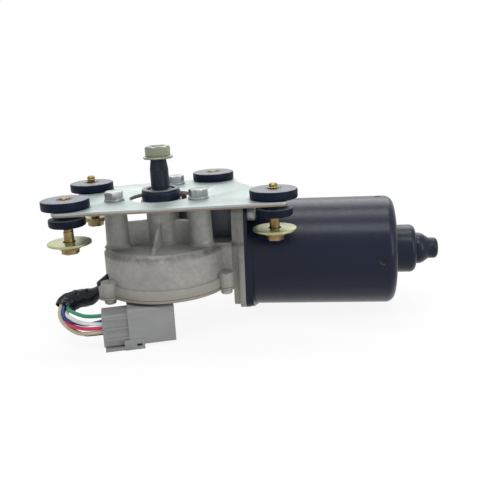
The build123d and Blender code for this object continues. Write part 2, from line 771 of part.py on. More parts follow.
wheel_twist = degrees(wheel_width / worm_pitch_r * module / 2 / wheel_pitch_r)
flank_radii = (wheel_root_r, wheel_pitch_r, wheel_tip_r)
tooth_points = []
for tooth in range(wheel_teeth):
    middle = pi / 2 + 2 * pi * tooth / wheel_teeth - radians(wheel_twist) / 2
    flanks = [(r, middle - half_tooth_angle(r)) for r in flank_radii]
    flanks += [(r, middle + half_tooth_angle(r)) for r in reversed(flank_radii)]
    tooth_points += [(r * cos(a), r * sin(a)) for r, a in flanks]
with BuildSketch(Plane.XY.offset(wheel_bottom_z)) as wheel_section:
    with BuildLine():
        Polyline(*tooth_points, close=True)
    make_face()
wheel_blank = Solid.extrude_linear_with_rotation(
    wheel_section.sketch.faces()[0], (0, 0, wheel_bottom_z), (0, 0, wheel_width), wheel_twist)
with BuildPart() as worm_wheel:
    add(wheel_blank)
    with BuildSketch(Plane.XY.offset(wheel_bottom_z)):
        Circle(wheel_root_r - wheel_rim)
        Circle(wheel_hub_d / 2, mode=Mode.SUBTRACT)
    extrude(amount=(wheel_width - wheel_web) / 2, mode=Mode.SUBTRACT)
    with BuildSketch(Plane.XY.offset(wheel_bottom_z + (wheel_width + wheel_web) / 2)):
        Circle(wheel_root_r - wheel_rim)
        Circle(wheel_hub_d / 2, mode=Mode.SUBTRACT)
    extrude(amount=(wheel_width - wheel_web) / 2, mode=Mode.SUBTRACT)
    with BuildSketch(Plane.XY.offset(wheel_bottom_z + wheel_width)):
        Circle(wheel_hub_d / 2)
    extrude(amount=hub_top_z - wheel_bottom_z - wheel_width)
    with BuildSketch(Plane.XY.offset(wheel_bottom_z)):
        Circle(shaft_r + touch)
    extrude(amount=hub_top_z - wheel_bottom_z, mode=Mode.SUBTRACT)
label_and_export(worm_wheel, "worm_wheel")

# Retaining ring under the wheel
with BuildPart() as shaft_circlip:
    with BuildSketch(Plane.XY.offset(wheel_bottom_z - touch)):
        Circle(circlip_d / 2)
        Circle(shaft_r + touch, mode=Mode.SUBTRACT)
    extrude(amount=-circlip_height)
label_and_export(shaft_circlip, "shaft_circlip")

# Park switch: a notched contact disc on the wheel, and sprung contacts on a board inside the cover
with BuildPart() as park_disc:
    with BuildSketch(Plane.XY.offset(wheel_bottom_z)) as disc_sketch:
        Circle(wheel_root_r - 1.0)
        Circle(wheel_hub_d / 2 - 1.0, mode=Mode.SUBTRACT)
        with BuildLine():
            notch_half = park_notch_angle / 2
            outer_arc = CenterArc((0, 0), 2 * wheel_root_r, -notch_half, park_notch_angle)
            inner_arc = CenterArc((0, 0), park_notch_r, -notch_half, park_notch_angle)
            Line(outer_arc @ 0, inner_arc @ 0)
            Line(outer_arc @ 1, inner_arc @ 1)
        make_face(mode=Mode.SUBTRACT)
    extrude(amount=-park_disc_height)
label_and_export(park_disc, "park_disc")

with BuildPart() as contact_board:
    with BuildSketch(Plane.XY.offset(cover_top_z)):
        Circle(contact_board_r)
    extrude(amount=contact_board_height)
label_and_export(contact_board, "contact_board")

board_top_z = cover_top_z + contact_board_height
leaf_rise = wheel_bottom_z - park_disc_height - running - contact_height - board_top_z
with BuildPart() as park_contacts:
    for r in contact_radii:
        with BuildSketch(Plane(origin=(-r, 0, board_top_z), x_dir=(0, 1, 0), z_dir=(1, 0, 0))):
            with BuildLine():
                Polyline((-12, 0), (-8, 0), (-1, leaf_rise), (1, leaf_rise), (1, leaf_rise + contact_height),
                         (-1.3, leaf_rise + contact_height), (-8.3, contact_height), (-12, contact_height), close=True)
            make_face()
        extrude(amount=contact_width / 2, both=True)
label_and_export(park_contacts, "park_contacts")

# Armature shaft with the worm cut on its end
worm_half = worm_length / 2
thread_pitch = pi * module
worm_mid_half = tooth_thickness / 2
worm_tip_angle = degrees((worm_mid_half - tooth_addendum * tan(pressure_angle)) * 2 * pi / thread_pitch)
worm_root_angle = degrees((worm_mid_half + tooth_dedendum * tan(pressure_angle)) * 2 * pi / thread_pitch)
thread_start = -360 * worm_half / thread_pitch


def worm_point(share, side):
    """Point on the worm's flank, from the crest at share 0 to the root at share 1, on side +1 or -1."""
    turn = radians(thread_start + side * (worm_tip_angle + share * (worm_root_angle - worm_tip_angle)))
    r = worm_tip_r + share * (worm_root_r - worm_tip_r)
    return (r * cos(turn), r * sin(turn))


with BuildSketch(motor_axis(-worm_half)) as worm_section:
    with BuildLine():
        CenterArc((0, 0), worm_tip_r, thread_start - worm_tip_angle, 2 * worm_tip_angle)
        Spline(*[worm_point(k / 4, 1) for k in range(5)])
        CenterArc((0, 0), worm_root_r, thread_start + worm_root_angle, 360 - 2 * worm_root_angle)
        Spline(*[worm_point(k / 4, -1) for k in range(5)])
    make_face()
worm_thread = Solid.extrude_linear_with_rotation(
    worm_section.sketch.faces()[0], (-worm_half, motor_y, motor_z), (worm_length, 0, 0),
    360 * worm_length / thread_pitch)
with BuildPart() as armature_shaft:
    add(worm_thread)
    with BuildSketch(motor_axis(-worm_half)):
        Circle(worm_journal_d / 2)
    extrude(amount=armature_shaft_left_x + worm_half)
    with BuildSketch(motor_axis(worm_half)):
        Circle(worm_root_r - 0.4)
    extrude(amount=worm_neck_length)
    with BuildSketch(motor_axis(worm_half + worm_neck_length)):
        Circle(armature_shaft_d / 2)
    extrude(amount=armature_shaft_right_x - worm_half - worm_neck_length)
label_and_export(armature_shaft, "armature_shaft")

# Thrust ball, adjusting screw and lock nut at the worm's free end
with BuildPart() as thrust_ball:
    with Locations((armature_shaft_left_x - running - thrust_ball_d / 2, motor_y, motor_z)):
        Sphere(thrust_ball_d / 2)
label_and_export(thrust_ball, "thrust_ball")

thrust_screw_right_x = armature_shaft_left_x - thrust_ball_d - 2 * running
with BuildPart() as thrust_screw:
    with BuildSketch(motor_axis(thrust_screw_right_x)):
        Circle(thrust_screw_d / 2)
    extrude(amount=tunnel_left_x - thrust_nut_height - 1.5 - thrust_screw_right_x)
    with BuildSketch(motor_axis(tunnel_left_x - thrust_nut_height - 1.5)):
        Rectangle(thrust_screw_d + 1, 1.2)
    extrude(amount=1.4, mode=Mode.SUBTRACT)
label_and_export(thrust_screw, "thrust_screw")

with BuildPart() as thrust_nut:
    with BuildSketch(motor_axis(tunnel_left_x)):
        RegularPolygon(thrust_nut_across_flats / 2, 6, major_radius=False)
        Circle(thrust_screw_d / 2 + touch, mode=Mode.SUBTRACT)
    extrude(amount=-thrust_nut_height)
label_and_export(thrust_nut, "thrust_nut")

# Bushes of the armature shaft: two beside the worm, and a round-backed one in the can's end boss
with BuildPart() as armature_bushes:
    with BuildSketch(motor_axis(tunnel_left_x + tunnel_end_height + worm_bush_gap)):
        Circle(tunnel_bore_r - touch)
        Circle(worm_journal_d / 2 + running, mode=Mode.SUBTRACT)
    extrude(amount=worm_bush_length)
    with BuildSketch(motor_axis(front_bush_x)):
        Circle(core_bore_r + running + motor_bush_wall)
        Circle(core_bore_r + running, mode=Mode.SUBTRACT)
    extrude(amount=front_bush_length)
label_and_export(armature_bushes, "armature_bushes")

rear_bush_half = rear_bush_length / 2
rear_bush_mid_x = end_boss_x - can_wall - 1.0 - rear_bush_half
with BuildPart() as rear_bush:
    with BuildSketch(can_section):
        with BuildLine():
            rim_r = sqrt(rear_bush_ball_r ** 2 - rear_bush_half ** 2)
            left_rim = (rear_bush_mid_x - rear_bush_half, rim_r)
            right_rim = (rear_bush_mid_x + rear_bush_half, rim_r)
            ThreePointArc(left_rim, (rear_bush_mid_x, rear_bush_ball_r), right_rim)
            Polyline(right_rim, (right_rim[0], core_bore_r + running), (left_rim[0], core_bore_r + running), left_rim)
        make_face()
    revolve(axis=can_axis)
label_and_export(rear_bush, "rear_bush")

with BuildPart() as rear_bush_clips:
    for side in (-1, 1):
        clip_r = sqrt(rear_bush_ball_r ** 2 - clip_offset ** 2) + running
        with BuildSketch(motor_axis(rear_bush_mid_x + side * clip_offset)):
            Circle(end_boss_r - can_wall - touch)
            Circle(clip_r, mode=Mode.SUBTRACT)
        extrude(amount=side * clip_height)
label_and_export(rear_bush_clips, "rear_bush_clips")

# Laminated core, windings and commutator
slot_top_r = core_r - core_tooth_lip
with BuildPart() as armature_core:
    with BuildSketch(motor_axis(core_x)):
        Circle(core_r)
        Circle(core_bore_r + touch, mode=Mode.SUBTRACT)
        with PolarLocations((slot_top_r + core_slot_floor_r) / 2, core_slots):
            Rectangle(slot_top_r - core_slot_floor_r, core_slot_width, mode=Mode.SUBTRACT)
        with PolarLocations(core_r, core_slots):
            Rectangle(2 * core_tooth_lip + 0.1, core_slot_mouth, mode=Mode.SUBTRACT)
    extrude(amount=core_length)
label_and_export(armature_core, "armature_core")

with BuildPart() as armature_windings:
    with BuildSketch(motor_axis(core_x - winding_overhang)):
        with PolarLocations((slot_top_r + core_slot_floor_r) / 2, core_slots):
            Rectangle(slot_top_r - core_slot_floor_r - 2 * running, core_slot_width - 2 * running)
    extrude(amount=core_length + 2 * winding_overhang)
    for start_x in (core_x - winding_overhang, core_x + core_length + running):
        with BuildSketch(motor_axis(start_x)):
            Circle(slot_top_r - running)
            Circle(core_bore_r + 2, mode=Mode.SUBTRACT)
        extrude(amount=winding_overhang - running)
label_and_export(armature_windings, "armature_windings")

with BuildPart() as commutator:
    with BuildSketch(motor_axis(commutator_x)):
        Circle(commutator_r)
        Circle(core_bore_r + touch, mode=Mode.SUBTRACT)
        with PolarLocations(commutator_r, commutator_bars):
            Rectangle(commutator_slot_depth * 2, commutator_slot_width, mode=Mode.SUBTRACT)
    extrude(amount=commutator_length)
label_and_export(commutator, "commutator")

# Field magnets, two arcs bonded inside the can
with BuildPart() as magnets:
    for middle in (90, 270):
        with BuildSketch(motor_axis(magnet_x)):
            with BuildLine():
                start = middle - magnet_angle / 2
                outer_arc = CenterArc((0, 0), magnet_outer_r, start, magnet_angle)
                inner_arc = CenterArc((0, 0), magnet_inner_r, start, magnet_angle)
                Line(outer_arc @ 0, inner_arc @ 0)
                Line(outer_arc @ 1, inner_arc @ 1)
            make_face()
        extrude(amount=magnet_length)
label_and_export(magnets, "magnets")

# Brush card with three holders, carbon brushes and their springs
with BuildPart() as brush_card:
    with BuildSketch(motor_axis(card_x)):
        Circle(can_r - can_wall - loose)
        Circle(card_hole_r, mode=Mode.SUBTRACT)
    extrude(amount=card_height)
label_and_export(brush_card, "brush_card")


def brush_plane(angle, r):
    """Plane across a brush at radius r: local x is +X and the normal points away from the motor axis."""
    out = (0, cos(radians(angle)), sin(radians(angle)))
    return Plane(origin=(brush_x, motor_y + r * out[1], motor_z + r * out[2]), x_dir=(1, 0, 0), z_dir=out)


brush_top_r = commutator_r + brush_height
holder_foot_x = card_x + card_height - brush_x
holder_face_x = brush_length_x / 2 + running + holder_wall
with BuildPart() as brush_holders:
    for angle in brush_angles:
        with BuildSketch(brush_plane(angle, commutator_r + 1.5)):
            with Locations(((holder_foot_x + holder_face_x) / 2, 0)):
                Rectangle(holder_face_x - holder_foot_x, brush_width + 2 * (running + holder_wall))
        extrude(amount=holder_outer_r - commutator_r - 1.5)
        with BuildSketch(brush_plane(angle, commutator_r + 1.5)):
            Rectangle(brush_length_x + 2 * running, brush_width + 2 * running)
        extrude(amount=holder_outer_r - holder_wall - commutator_r - 1.5, mode=Mode.SUBTRACT)
label_and_export(brush_holders, "brush_holders")

with BuildPart() as brushes:
    for angle in brush_angles:
        with BuildSketch(brush_plane(angle, commutator_r - 1)):
            Rectangle(brush_length_x, brush_width)
        extrude(amount=brush_height + 1)
    with BuildSketch(motor_axis(commutator_x)):
        Circle(commutator_r + running)
    extrude(amount=commutator_length, mode=Mode.SUBTRACT)
label_and_export(brushes, "brushes")

with BuildPart() as brush_springs:
    for angle in brush_angles:
        with BuildSketch(brush_plane(angle, brush_top_r + touch)):
            Circle(brush_spring_d / 2)
            Circle(brush_spring_d / 2 - spring_wire_d, mode=Mode.SUBTRACT)
        extrude(amount=holder_outer_r - holder_wall - brush_top_r - 2 * touch)
label_and_export(brush_springs, "brush_springs")

# Black terminal cover that stands on the housing beside the motor flange
with BuildPart() as terminal_cover:
    with BuildSketch(Plane.XY.offset(bridge_top_z + touch)) as terminal_sketch:
        with BuildLine():
            Polyline((terminal_cover_x, terminal_cover_y[0]), (housing_flange_x - touch, terminal_cover_y[0]),
                     (housing_flange_x - touch, terminal_cover_y[1]), (terminal_cover_x, terminal_cover_y[1]),
                     close=True)
        make_face()
        fillet(terminal_sketch.vertices().group_by(Axis.X)[0], 2.5)
    extrude(amount=terminal_cover_top_z - bridge_top_z)
    fillet(terminal_cover.faces().sort_by(Axis.Z)[-1].edges(), 1.0)
    with BuildSketch(Plane.XY.offset(bridge_top_z + touch)):
        with BuildLine():
            inner_x = terminal_cover_x + terminal_cover_wall
            inner_y = (terminal_cover_y[0] + terminal_cover_wall, terminal_cover_y[1] - terminal_cover_wall)
            Polyline((inner_x, inner_y[0]), (housing_flange_x, inner_y[0]), (housing_flange_x, inner_y[1]),
                     (inner_x, inner_y[1]), close=True)
        make_face()
    extrude(amount=terminal_cover_top_z - bridge_top_z - terminal_cover_wall, mode=Mode.SUBTRACT)
label_and_export(terminal_cover, "terminal_cover")

# Lead: grommet in the housing wall, vinyl sleeve, six wires and the connector
with BuildPart() as lead_grommet:
    with BuildSketch(grommet_plane.offset(-grommet_length)):
        Circle(grommet_d / 2)
    extrude(amount=grommet_length + grommet_projection)
label_and_export(lead_grommet, "lead_grommet")

# Each wire: its place across the sleeve's mouth, its way points, and its place across the connector's back
wire_routes = {
    "green": ((-2.8, -1.36), [(-62.0, -21.0, -69.5), (-63.0, -24.5, -71.5), (-60.5, -29.0, -72.0),
                              (-54.5, -33.5, -71.5), (-46.5, -38.0, -69.5)], (8.4, 17.0)),
    "white": ((-1.17, 0.86), [(-61.5, -19.5, -72.0), (-63.0, -23.5, -74.0), (-60.5, -28.5, -75.0),
                              (-54.5, -33.5, -74.5), (-46.2, -38.0, -72.8)], (8.4, 13.6)),
    "black": ((0.46, 3.07), [(-61.0, -18.0, -74.0), (-63.5, -22.5, -77.0), (-61.0, -28.5, -79.0),
                             (-54.0, -33.5, -79.5), (-46.0, -38.0, -79.0)], (8.4, 6.3)),
    "blue": ((-0.46, -3.07), [(-64.0, -19.5, -69.0), (-66.0, -25.0, -71.5), (-63.0, -31.0, -73.5),
                              (-56.0, -36.0, -74.0), (-48.0, -41.0, -73.3)], (5.5, 12.2)),
    "red": ((1.17, -0.86), [(-63.5, -18.0, -71.0), (-66.0, -24.0, -74.0), (-63.0, -30.5, -76.0),
                            (-56.0, -36.0, -76.5), (-47.5, -41.0, -75.8)], (5.5, 9.6)),
    "beige": ((2.8, 1.36), [(-63.5, -16.5, -73.5), (-66.5, -23.0, -76.5), (-63.0, -30.0, -79.0),
                            (-56.0, -35.5, -79.5), (-47.0, -41.0, -78.5)], (5.5, 7.0)),
}
sleeve_route = [(-37.0, -17.0, -57.0), (-43.4, -17.0, -61.8), (-56.54, -17.0, -67.9)]


def corner_radii(route):
    """Largest arc that fits at each corner of a route: 0.45 of the shorter run over the tangent of half the turn."""
    points = [Vector(*p) for p in route]
    runs = [b - a for a, b in zip(points[:-1], points[1:])]
    return [0.45 * min(a.length, b.length) / tan(radians(a.get_angle(b) / 2)) for a, b in zip(runs[:-1], runs[1:])]


with BuildPart() as lead_sleeve:
    with BuildLine() as sleeve_line:
        FilletPolyline(*sleeve_route, radius=corner_radii(sleeve_route))
    with BuildSketch(Plane(origin=sleeve_line.line @ 0, z_dir=sleeve_line.line % 0)):
        Circle(sleeve_tube_d / 2)
    sweep()
    with BuildSketch(Plane(origin=sleeve_line.line @ 1, z_dir=-(sleeve_line.line % 1))):
        Circle(sleeve_tube_d / 2 - sleeve_tube_wall)
    extrude(amount=sleeve_tube_mouth, mode=Mode.SUBTRACT)
label_and_export(lead_sleeve, "lead_sleeve")

connector_plane = Plane(origin=(*connector_corner, connector_bottom_z),
                        x_dir=(cos(radians(connector_turn)), sin(radians(connector_turn)), 0), z_dir=(0, 0, 1))
mouth_tangent = sleeve_line.line % 1
sleeve_floor = Plane(origin=sleeve_line.line @ 1 - sleeve_tube_mouth * mouth_tangent, x_dir=(0, 1, 0),
                     z_dir=mouth_tangent)
for colour, (sleeve_spot, way_points, back_spot) in wire_routes.items():
    route = [sleeve_floor.from_local_coords((*sleeve_spot, touch)),
             sleeve_floor.from_local_coords((*sleeve_spot, wire_lead_out)), *way_points,
             connector_plane.from_local_coords((-wire_lead_in, *back_spot)),
             connector_plane.from_local_coords((-touch, *back_spot))]
    with BuildPart() as wire:
        with BuildLine() as wire_line:
            FilletPolyline(*route, radius=corner_radii(route))
        with BuildSketch(Plane(origin=wire_line.line @ 0, z_dir=wire_line.line % 0)):
            Circle(wire_d / 2)
        sweep()
    label_and_export(wire, f"wire_{colour}")

# Connector: back part with the wires, wider shroud open at the far end, and a mounting rail under it
shroud_height = connector_top_z - connector_bottom_z
socket_width = connector_size[1] - 2 * connector_wall
socket_height = shroud_height - 2 * connector_wall
pad_right_x = connector_rail_x + connector_rail_length
mouth_plane = Plane(origin=connector_plane.from_local_coords((connector_size[0], connector_size[1] / 2,
                                                              shroud_height / 2)),
                    x_dir=connector_plane.y_dir, z_dir=connector_plane.x_dir)
with BuildPart() as connector_housing:
    with BuildSketch(mouth_plane) as shroud_face:
        Rectangle(connector_size[1], shroud_height)
        fillet(shroud_face.vertices(), connector_corner_r)
    extrude(amount=connector_back_length - connector_size[0])
    with BuildSketch(mouth_plane.offset(connector_back_length - connector_size[0])) as back_face:
        with Locations((0, -connector_back_drop / 2)):
            Rectangle(connector_size[1] - 2 * connector_back_inset, shroud_height - connector_back_drop)
        fillet(back_face.vertices(), connector_corner_r)
    extrude(amount=-connector_back_length)
    # Ribs along the back part
    with BuildSketch(mouth_plane.offset(connector_back_length - connector_size[0])):
        for level in connector_rib_levels:
            with Locations((0, level)):
                Rectangle(connector_size[1] - 2 * connector_rib_inset, connector_rib_height)
    extrude(amount=connector_rib_setback - connector_back_length)
    # Mounting rail under the front edge, with a pad on the front face
    with BuildSketch(connector_plane):
        with Locations((connector_rail_x + connector_rail_length / 2, connector_rail_width / 2)):
            Rectangle(connector_rail_length, connector_rail_width)
    extrude(amount=connector_foot_z - connector_bottom_z)
    with BuildSketch(connector_plane.offset(connector_foot_z - connector_bottom_z)):
        with Locations(((connector_pad_x + pad_right_x) / 2, 0)):
            Rectangle(pad_right_x - connector_pad_x, 2 * connector_pad_height)
    extrude(amount=connector_pad_top_z - connector_foot_z)
    with BuildSketch(connector_plane):
        with Locations((pad_right_x - connector_notch[0], 0)):
            Rectangle(connector_notch[0], 2 * (connector_pad_height + connector_wall))
    extrude(amount=connector_notch[1], mode=Mode.SUBTRACT)
    # Socket
    with BuildSketch(mouth_plane) as socket_face:
        Rectangle(socket_width, socket_height)
        fillet(socket_face.vertices(), connector_corner_r - 0.5)
    extrude(amount=-connector_socket_depth, mode=Mode.SUBTRACT)
label_and_export(connector_housing, "connector_housing")

with BuildPart() as connector_terminals:
    with BuildSketch(mouth_plane.offset(-connector_socket_depth)):
        with GridLocations(terminal_pitch[0], terminal_pitch[1], 2, 3):
            Rectangle(terminal_pin[0], terminal_pin[1])
    extrude(amount=terminal_length)
label_and_export(connector_terminals, "connector_terminals")
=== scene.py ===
from math import atan2, cos, pi, radians, sin

import bpy
from bpy.props import FloatProperty, FloatVectorProperty, IntProperty, PointerProperty
from bpy.types import Operator, Panel, PropertyGroup
from mathutils import Matrix, Vector


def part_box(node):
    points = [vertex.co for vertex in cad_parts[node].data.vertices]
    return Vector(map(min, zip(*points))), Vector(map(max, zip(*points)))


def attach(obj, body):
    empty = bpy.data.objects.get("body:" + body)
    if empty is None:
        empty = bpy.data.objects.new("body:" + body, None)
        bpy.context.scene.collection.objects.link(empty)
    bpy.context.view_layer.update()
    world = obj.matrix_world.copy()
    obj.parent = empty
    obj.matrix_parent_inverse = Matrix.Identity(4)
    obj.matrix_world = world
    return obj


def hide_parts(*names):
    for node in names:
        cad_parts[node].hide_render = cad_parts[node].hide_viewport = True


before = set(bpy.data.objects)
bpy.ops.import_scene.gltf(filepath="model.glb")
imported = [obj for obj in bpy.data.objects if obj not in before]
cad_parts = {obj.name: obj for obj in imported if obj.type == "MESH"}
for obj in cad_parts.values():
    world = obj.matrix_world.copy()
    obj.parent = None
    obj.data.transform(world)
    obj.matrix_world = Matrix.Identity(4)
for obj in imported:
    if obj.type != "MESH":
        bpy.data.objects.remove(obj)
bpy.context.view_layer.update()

bl_info = {
    "name": "Wiper Motor",
    "version": (1, 0, 0),
    "blender": (4, 5, 0),
    "location": "View3D > Sidebar > Wiper Motor",
    "description": "Dresses a wiper motor: die casting, black can, zinc hardware, rubber cushions and wired lead",
    "category": "Add Mesh",
}

MM = 0.001
SHARP_DEGREES = 30.0
CORNERS = ("left_front", "right_front", "left_rear", "right_rear")
PLATE_SCREW_SPOTS = ((-26.2, -9.5), (24.4, -9.5), (0.0, 43.0))
FLOOR_Z = -0.0862
DRUM_SEAM_Z = -0.0352

# Turned profiles: the steps (radius, height) in millimetres, from the first face to the last
CUSHION_PROFILE = (
    (4.7, 0.0), (5.6, -0.35), (6.6, -0.1), (12.6, 0.0), (13.4, -0.25), (13.75, -0.9), (13.7, -2.8), (13.75, -4.7),
    (13.4, -5.3), (12.9, -5.5), (7.8, -5.5), (7.5, -5.8), (7.5, -10.6), (7.8, -11.0), (10.0, -11.0), (10.5, -11.25),
    (10.65, -11.8), (10.65, -14.6), (10.3, -15.3), (9.7, -15.6), (4.7, -15.6))
BOLT_PROFILE = ((4.3, 2.5), (5.8, 2.7), (6.2, 3.0), (6.25, 5.2), (6.0, 5.5), (3.3, 5.5), (2.95, 5.8), (2.95, 13.0),
                (2.5, 13.4))
WASHER_PROFILE = ((3.75, 0.0), (12.4, 0.0), (12.65, 0.2), (12.7, 0.5), (12.6, 1.2), (12.3, 1.45), (11.9, 1.5),
                  (3.9, 1.5), (3.75, 1.35))
SPINDLE_PROFILE = ((5.2, -56.6), (5.5, -56.3), (5.5, 9.0), (5.5, 11.0))
TAPER_PROFILE = ((5.45, 11.0), (4.5, 17.5))
STUB_PROFILE = ((3.4, 17.4), (3.4, 24.1), (2.8, 24.8))
NUT_FLANGE_PROFILE = ((4.1, 17.5), (8.6, 17.5), (8.8, 17.8), (8.8, 18.3), (8.6, 18.6), (6.6, 19.1), (4.1, 19.1))
NUT_BORE_PROFILE = ((4.05, 10.0), (4.05, 24.0), (4.7, 25.0))
SEAL_PROFILE = ((5.56, -7.2), (10.9, -7.2), (11.4, -6.8), (11.6, -6.2), (11.6, -2.6), (11.35, -1.8), (10.8, -1.35),
                (8.2, -1.3), (7.6, -1.45), (6.6, -1.0), (5.75, -0.3), (5.56, -0.3))

# Inner pieces: light and dark tone, roughness, metallic and size of the patches, and the nodes that have the finish
INNER_FINISHES = {
    "Sintered Bronze": ((182, 138, 84), (146, 106, 60), 0.5, 0.8, 160.0,
                        ("shaft_bushes", "armature_bushes", "rear_bush")),
    "Enamelled Copper": ((188, 104, 58), (142, 70, 38), 0.3, 0.8, 400.0, ("armature_windings", "commutator")),
    "Contact Brass": ((208, 178, 104), (170, 140, 78), 0.3, 0.9, 160.0,
                      ("park_disc", "park_contacts", "brush_holders", "connector_terminals")),
    "Board Laminate": ((140, 98, 58), (110, 74, 44), 0.6, 0.0, 160.0, ("contact_board", "brush_card")),
    "Lamination Steel": ((128, 130, 134), (92, 94, 98), 0.4, 0.9, 160.0, ("armature_core",)),
    "Ferrite": ((70, 72, 76), (48, 50, 54), 0.7, 0.0, 160.0, ("magnets",)),
    "Brush Carbon": ((54, 54, 56), (36, 36, 38), 0.6, 0.2, 160.0, ("brushes",)),
    "Gear Plastic": ((232, 226, 206), (214, 206, 182), 0.4, 0.0, 160.0, ("worm_wheel",)),
}

# Softboxes: name, place, target, and width and height, all in metres, by the name of the power's setting
SOFTBOXES = {
    "overhead": ("Overhead Softbox", (0.04, 0.17, 0.85), (0.04, 0.02, 0.0), (0.8, 0.22)),
    "back": ("Back Softbox", (0.04, 0.72, 0.55), (0.04, 0.02, 0.0), (1.0, 0.5)),
    "front": ("Front Softbox", (0.02, -0.43, 0.86), (0.04, 0.0, -0.03), (0.9, 0.26)),
    "side": ("Side Strip", (0.80, -0.55, 0.28), (0.05, 0.0, -0.03), (0.3, 0.7)),
}

# The lead's route, in metres: each wire's control points from the sleeve to the connector
SLEEVE_ROUTE = [(-0.0370, -0.0170, -0.0570), (-0.0418, -0.0170, -0.0622), (-0.0490, -0.0173, -0.0634),
                (-0.0550, -0.0185, -0.0644), (-0.0582, -0.0210, -0.0656), (-0.0588, -0.0234, -0.0674)]
WIRE_ROUTES = {
    "beige": [(-0.0428, -0.0182, -0.0599), (-0.0490, -0.0184, -0.0608), (-0.0558, -0.0196, -0.0614),
              (-0.0602, -0.0219, -0.0628), (-0.0611, -0.0244, -0.0660), (-0.0614, -0.0282, -0.0713),
              (-0.0551, -0.0350, -0.0748), (-0.0455, -0.0418, -0.0768), (-0.0378, -0.0444, -0.0754),
              (-0.0302, -0.0420, -0.0754)],
    "black": [(-0.0483, -0.0161, -0.0607), (-0.0490, -0.0162, -0.0608), (-0.0556, -0.0174, -0.0614),
              (-0.0596, -0.0200, -0.0634), (-0.0608, -0.0222, -0.0667), (-0.0600, -0.0236, -0.0740),
              (-0.0562, -0.0284, -0.0769), (-0.0500, -0.0338, -0.0786), (-0.0425, -0.0395, -0.0780),
              (-0.0387, -0.0416, -0.0773), (-0.0311, -0.0392, -0.0773)],
    "blue": [(-0.0401, -0.0181, -0.0606), (-0.0420, -0.0181, -0.0620), (-0.0490, -0.0184, -0.0630),
             (-0.0551, -0.0196, -0.0636), (-0.0585, -0.0219, -0.0642), (-0.0592, -0.0246, -0.0668),
             (-0.0590, -0.0280, -0.0712), (-0.0545, -0.0322, -0.0728), (-0.0470, -0.0368, -0.0722),
             (-0.0387, -0.0416, -0.0716), (-0.0311, -0.0392, -0.0700)],
    "red": [(-0.0430, -0.0159, -0.0621), (-0.0490, -0.0162, -0.0630), (-0.0549, -0.0174, -0.0636),
            (-0.0579, -0.0200, -0.0648), (-0.0588, -0.0222, -0.0669), (-0.0604, -0.0262, -0.0722),
            (-0.0560, -0.0320, -0.0740), (-0.0468, -0.0406, -0.0732), (-0.0378, -0.0444, -0.0730),
            (-0.0302, -0.0420, -0.0730)],
    "green": [(-0.0403, -0.0181, -0.0630), (-0.0420, -0.0181, -0.0642), (-0.0490, -0.0184, -0.0652),
              (-0.0544, -0.0196, -0.0657), (-0.0568, -0.0219, -0.0656), (-0.0566, -0.0244, -0.0665),
              (-0.0538, -0.0305, -0.0664), (-0.0473, -0.0356, -0.0668), (-0.0387, -0.0416, -0.0666),
              (-0.0311, -0.0392, -0.0666)],
    "white": [(-0.0420, -0.0158, -0.0642), (-0.0490, -0.0162, -0.0652), (-0.0542, -0.0174, -0.0657),
              (-0.0556, -0.0194, -0.0672), (-0.0564, -0.0222, -0.0688), (-0.0566, -0.0284, -0.0692),
              (-0.0528, -0.0345, -0.0690), (-0.0460, -0.0398, -0.0699), (-0.0378, -0.0444, -0.0698),
              (-0.0302, -0.0420, -0.0706)],
}


def tone(red, green, blue):
    """A colour given as 0 to 255 display values, as the linear values that sockets take."""
    return tuple((v / 255 / 12.92) if v <= 10 else ((v / 255 + 0.055) / 1.055) ** 2.4 for v in (red, green, blue))


def colour_property(name, *display):
    """A colour that a user may change, given as 0 to 255 display values."""
    return FloatVectorProperty(name=name, description=f"Colour of the {name.lower()}", subtype="COLOR", min=0.0,
                               max=1.0, default=tone(*display))


def length_property(name, description, millimetres):
    """A length that a user may change, given in millimetres and stored in metres."""
    return FloatProperty(name=name, description=description, subtype="DISTANCE", unit="LENGTH", min=0.0,
                         default=millimetres * MM)


class WIPERMOTOR_PG_colours(PropertyGroup):
    """Colours of the motor's finishes."""
    casting: colour_property("Housing's Die Casting", 154, 153, 148)
    casting_low: colour_property("Housing's Stained Foot and Cover", 150, 147, 139)
    can: colour_property("Can's Gloss Enamel", 2, 12, 38)
    plate: colour_property("Plate's Zinc", 164, 176, 173)
    plate_edge: colour_property("Plate's Sheared Edge", 134, 114, 102)
    # The cushions' top colour is painted light for the faces that look up.
    rubber_top_light: colour_property("Cushions' Painted Top Light", 136, 138, 142)
    rubber_side: colour_property("Cushions' Sides", 14, 24, 44)
    zinc: colour_property("Screws' Bright Zinc", 160, 163, 163)
    yellow_zinc: colour_property("Bolts' Yellow Zinc", 130, 104, 64)
    washer: colour_property("Washers' Pale Gold Zinc", 174, 174, 132)
    connector: colour_property("Grey Connector", 146, 147, 146)
    green: colour_property("Green Wire", 12, 138, 100)
    blue: colour_property("Blue Wire", 28, 52, 140)
    white: colour_property("White Wire", 226, 228, 226)
    beige: colour_property("Beige Wire", 188, 176, 152)
    red: colour_property("Crimson Wire", 205, 28, 76)
    black: colour_property("Black Wire", 20, 22, 26)


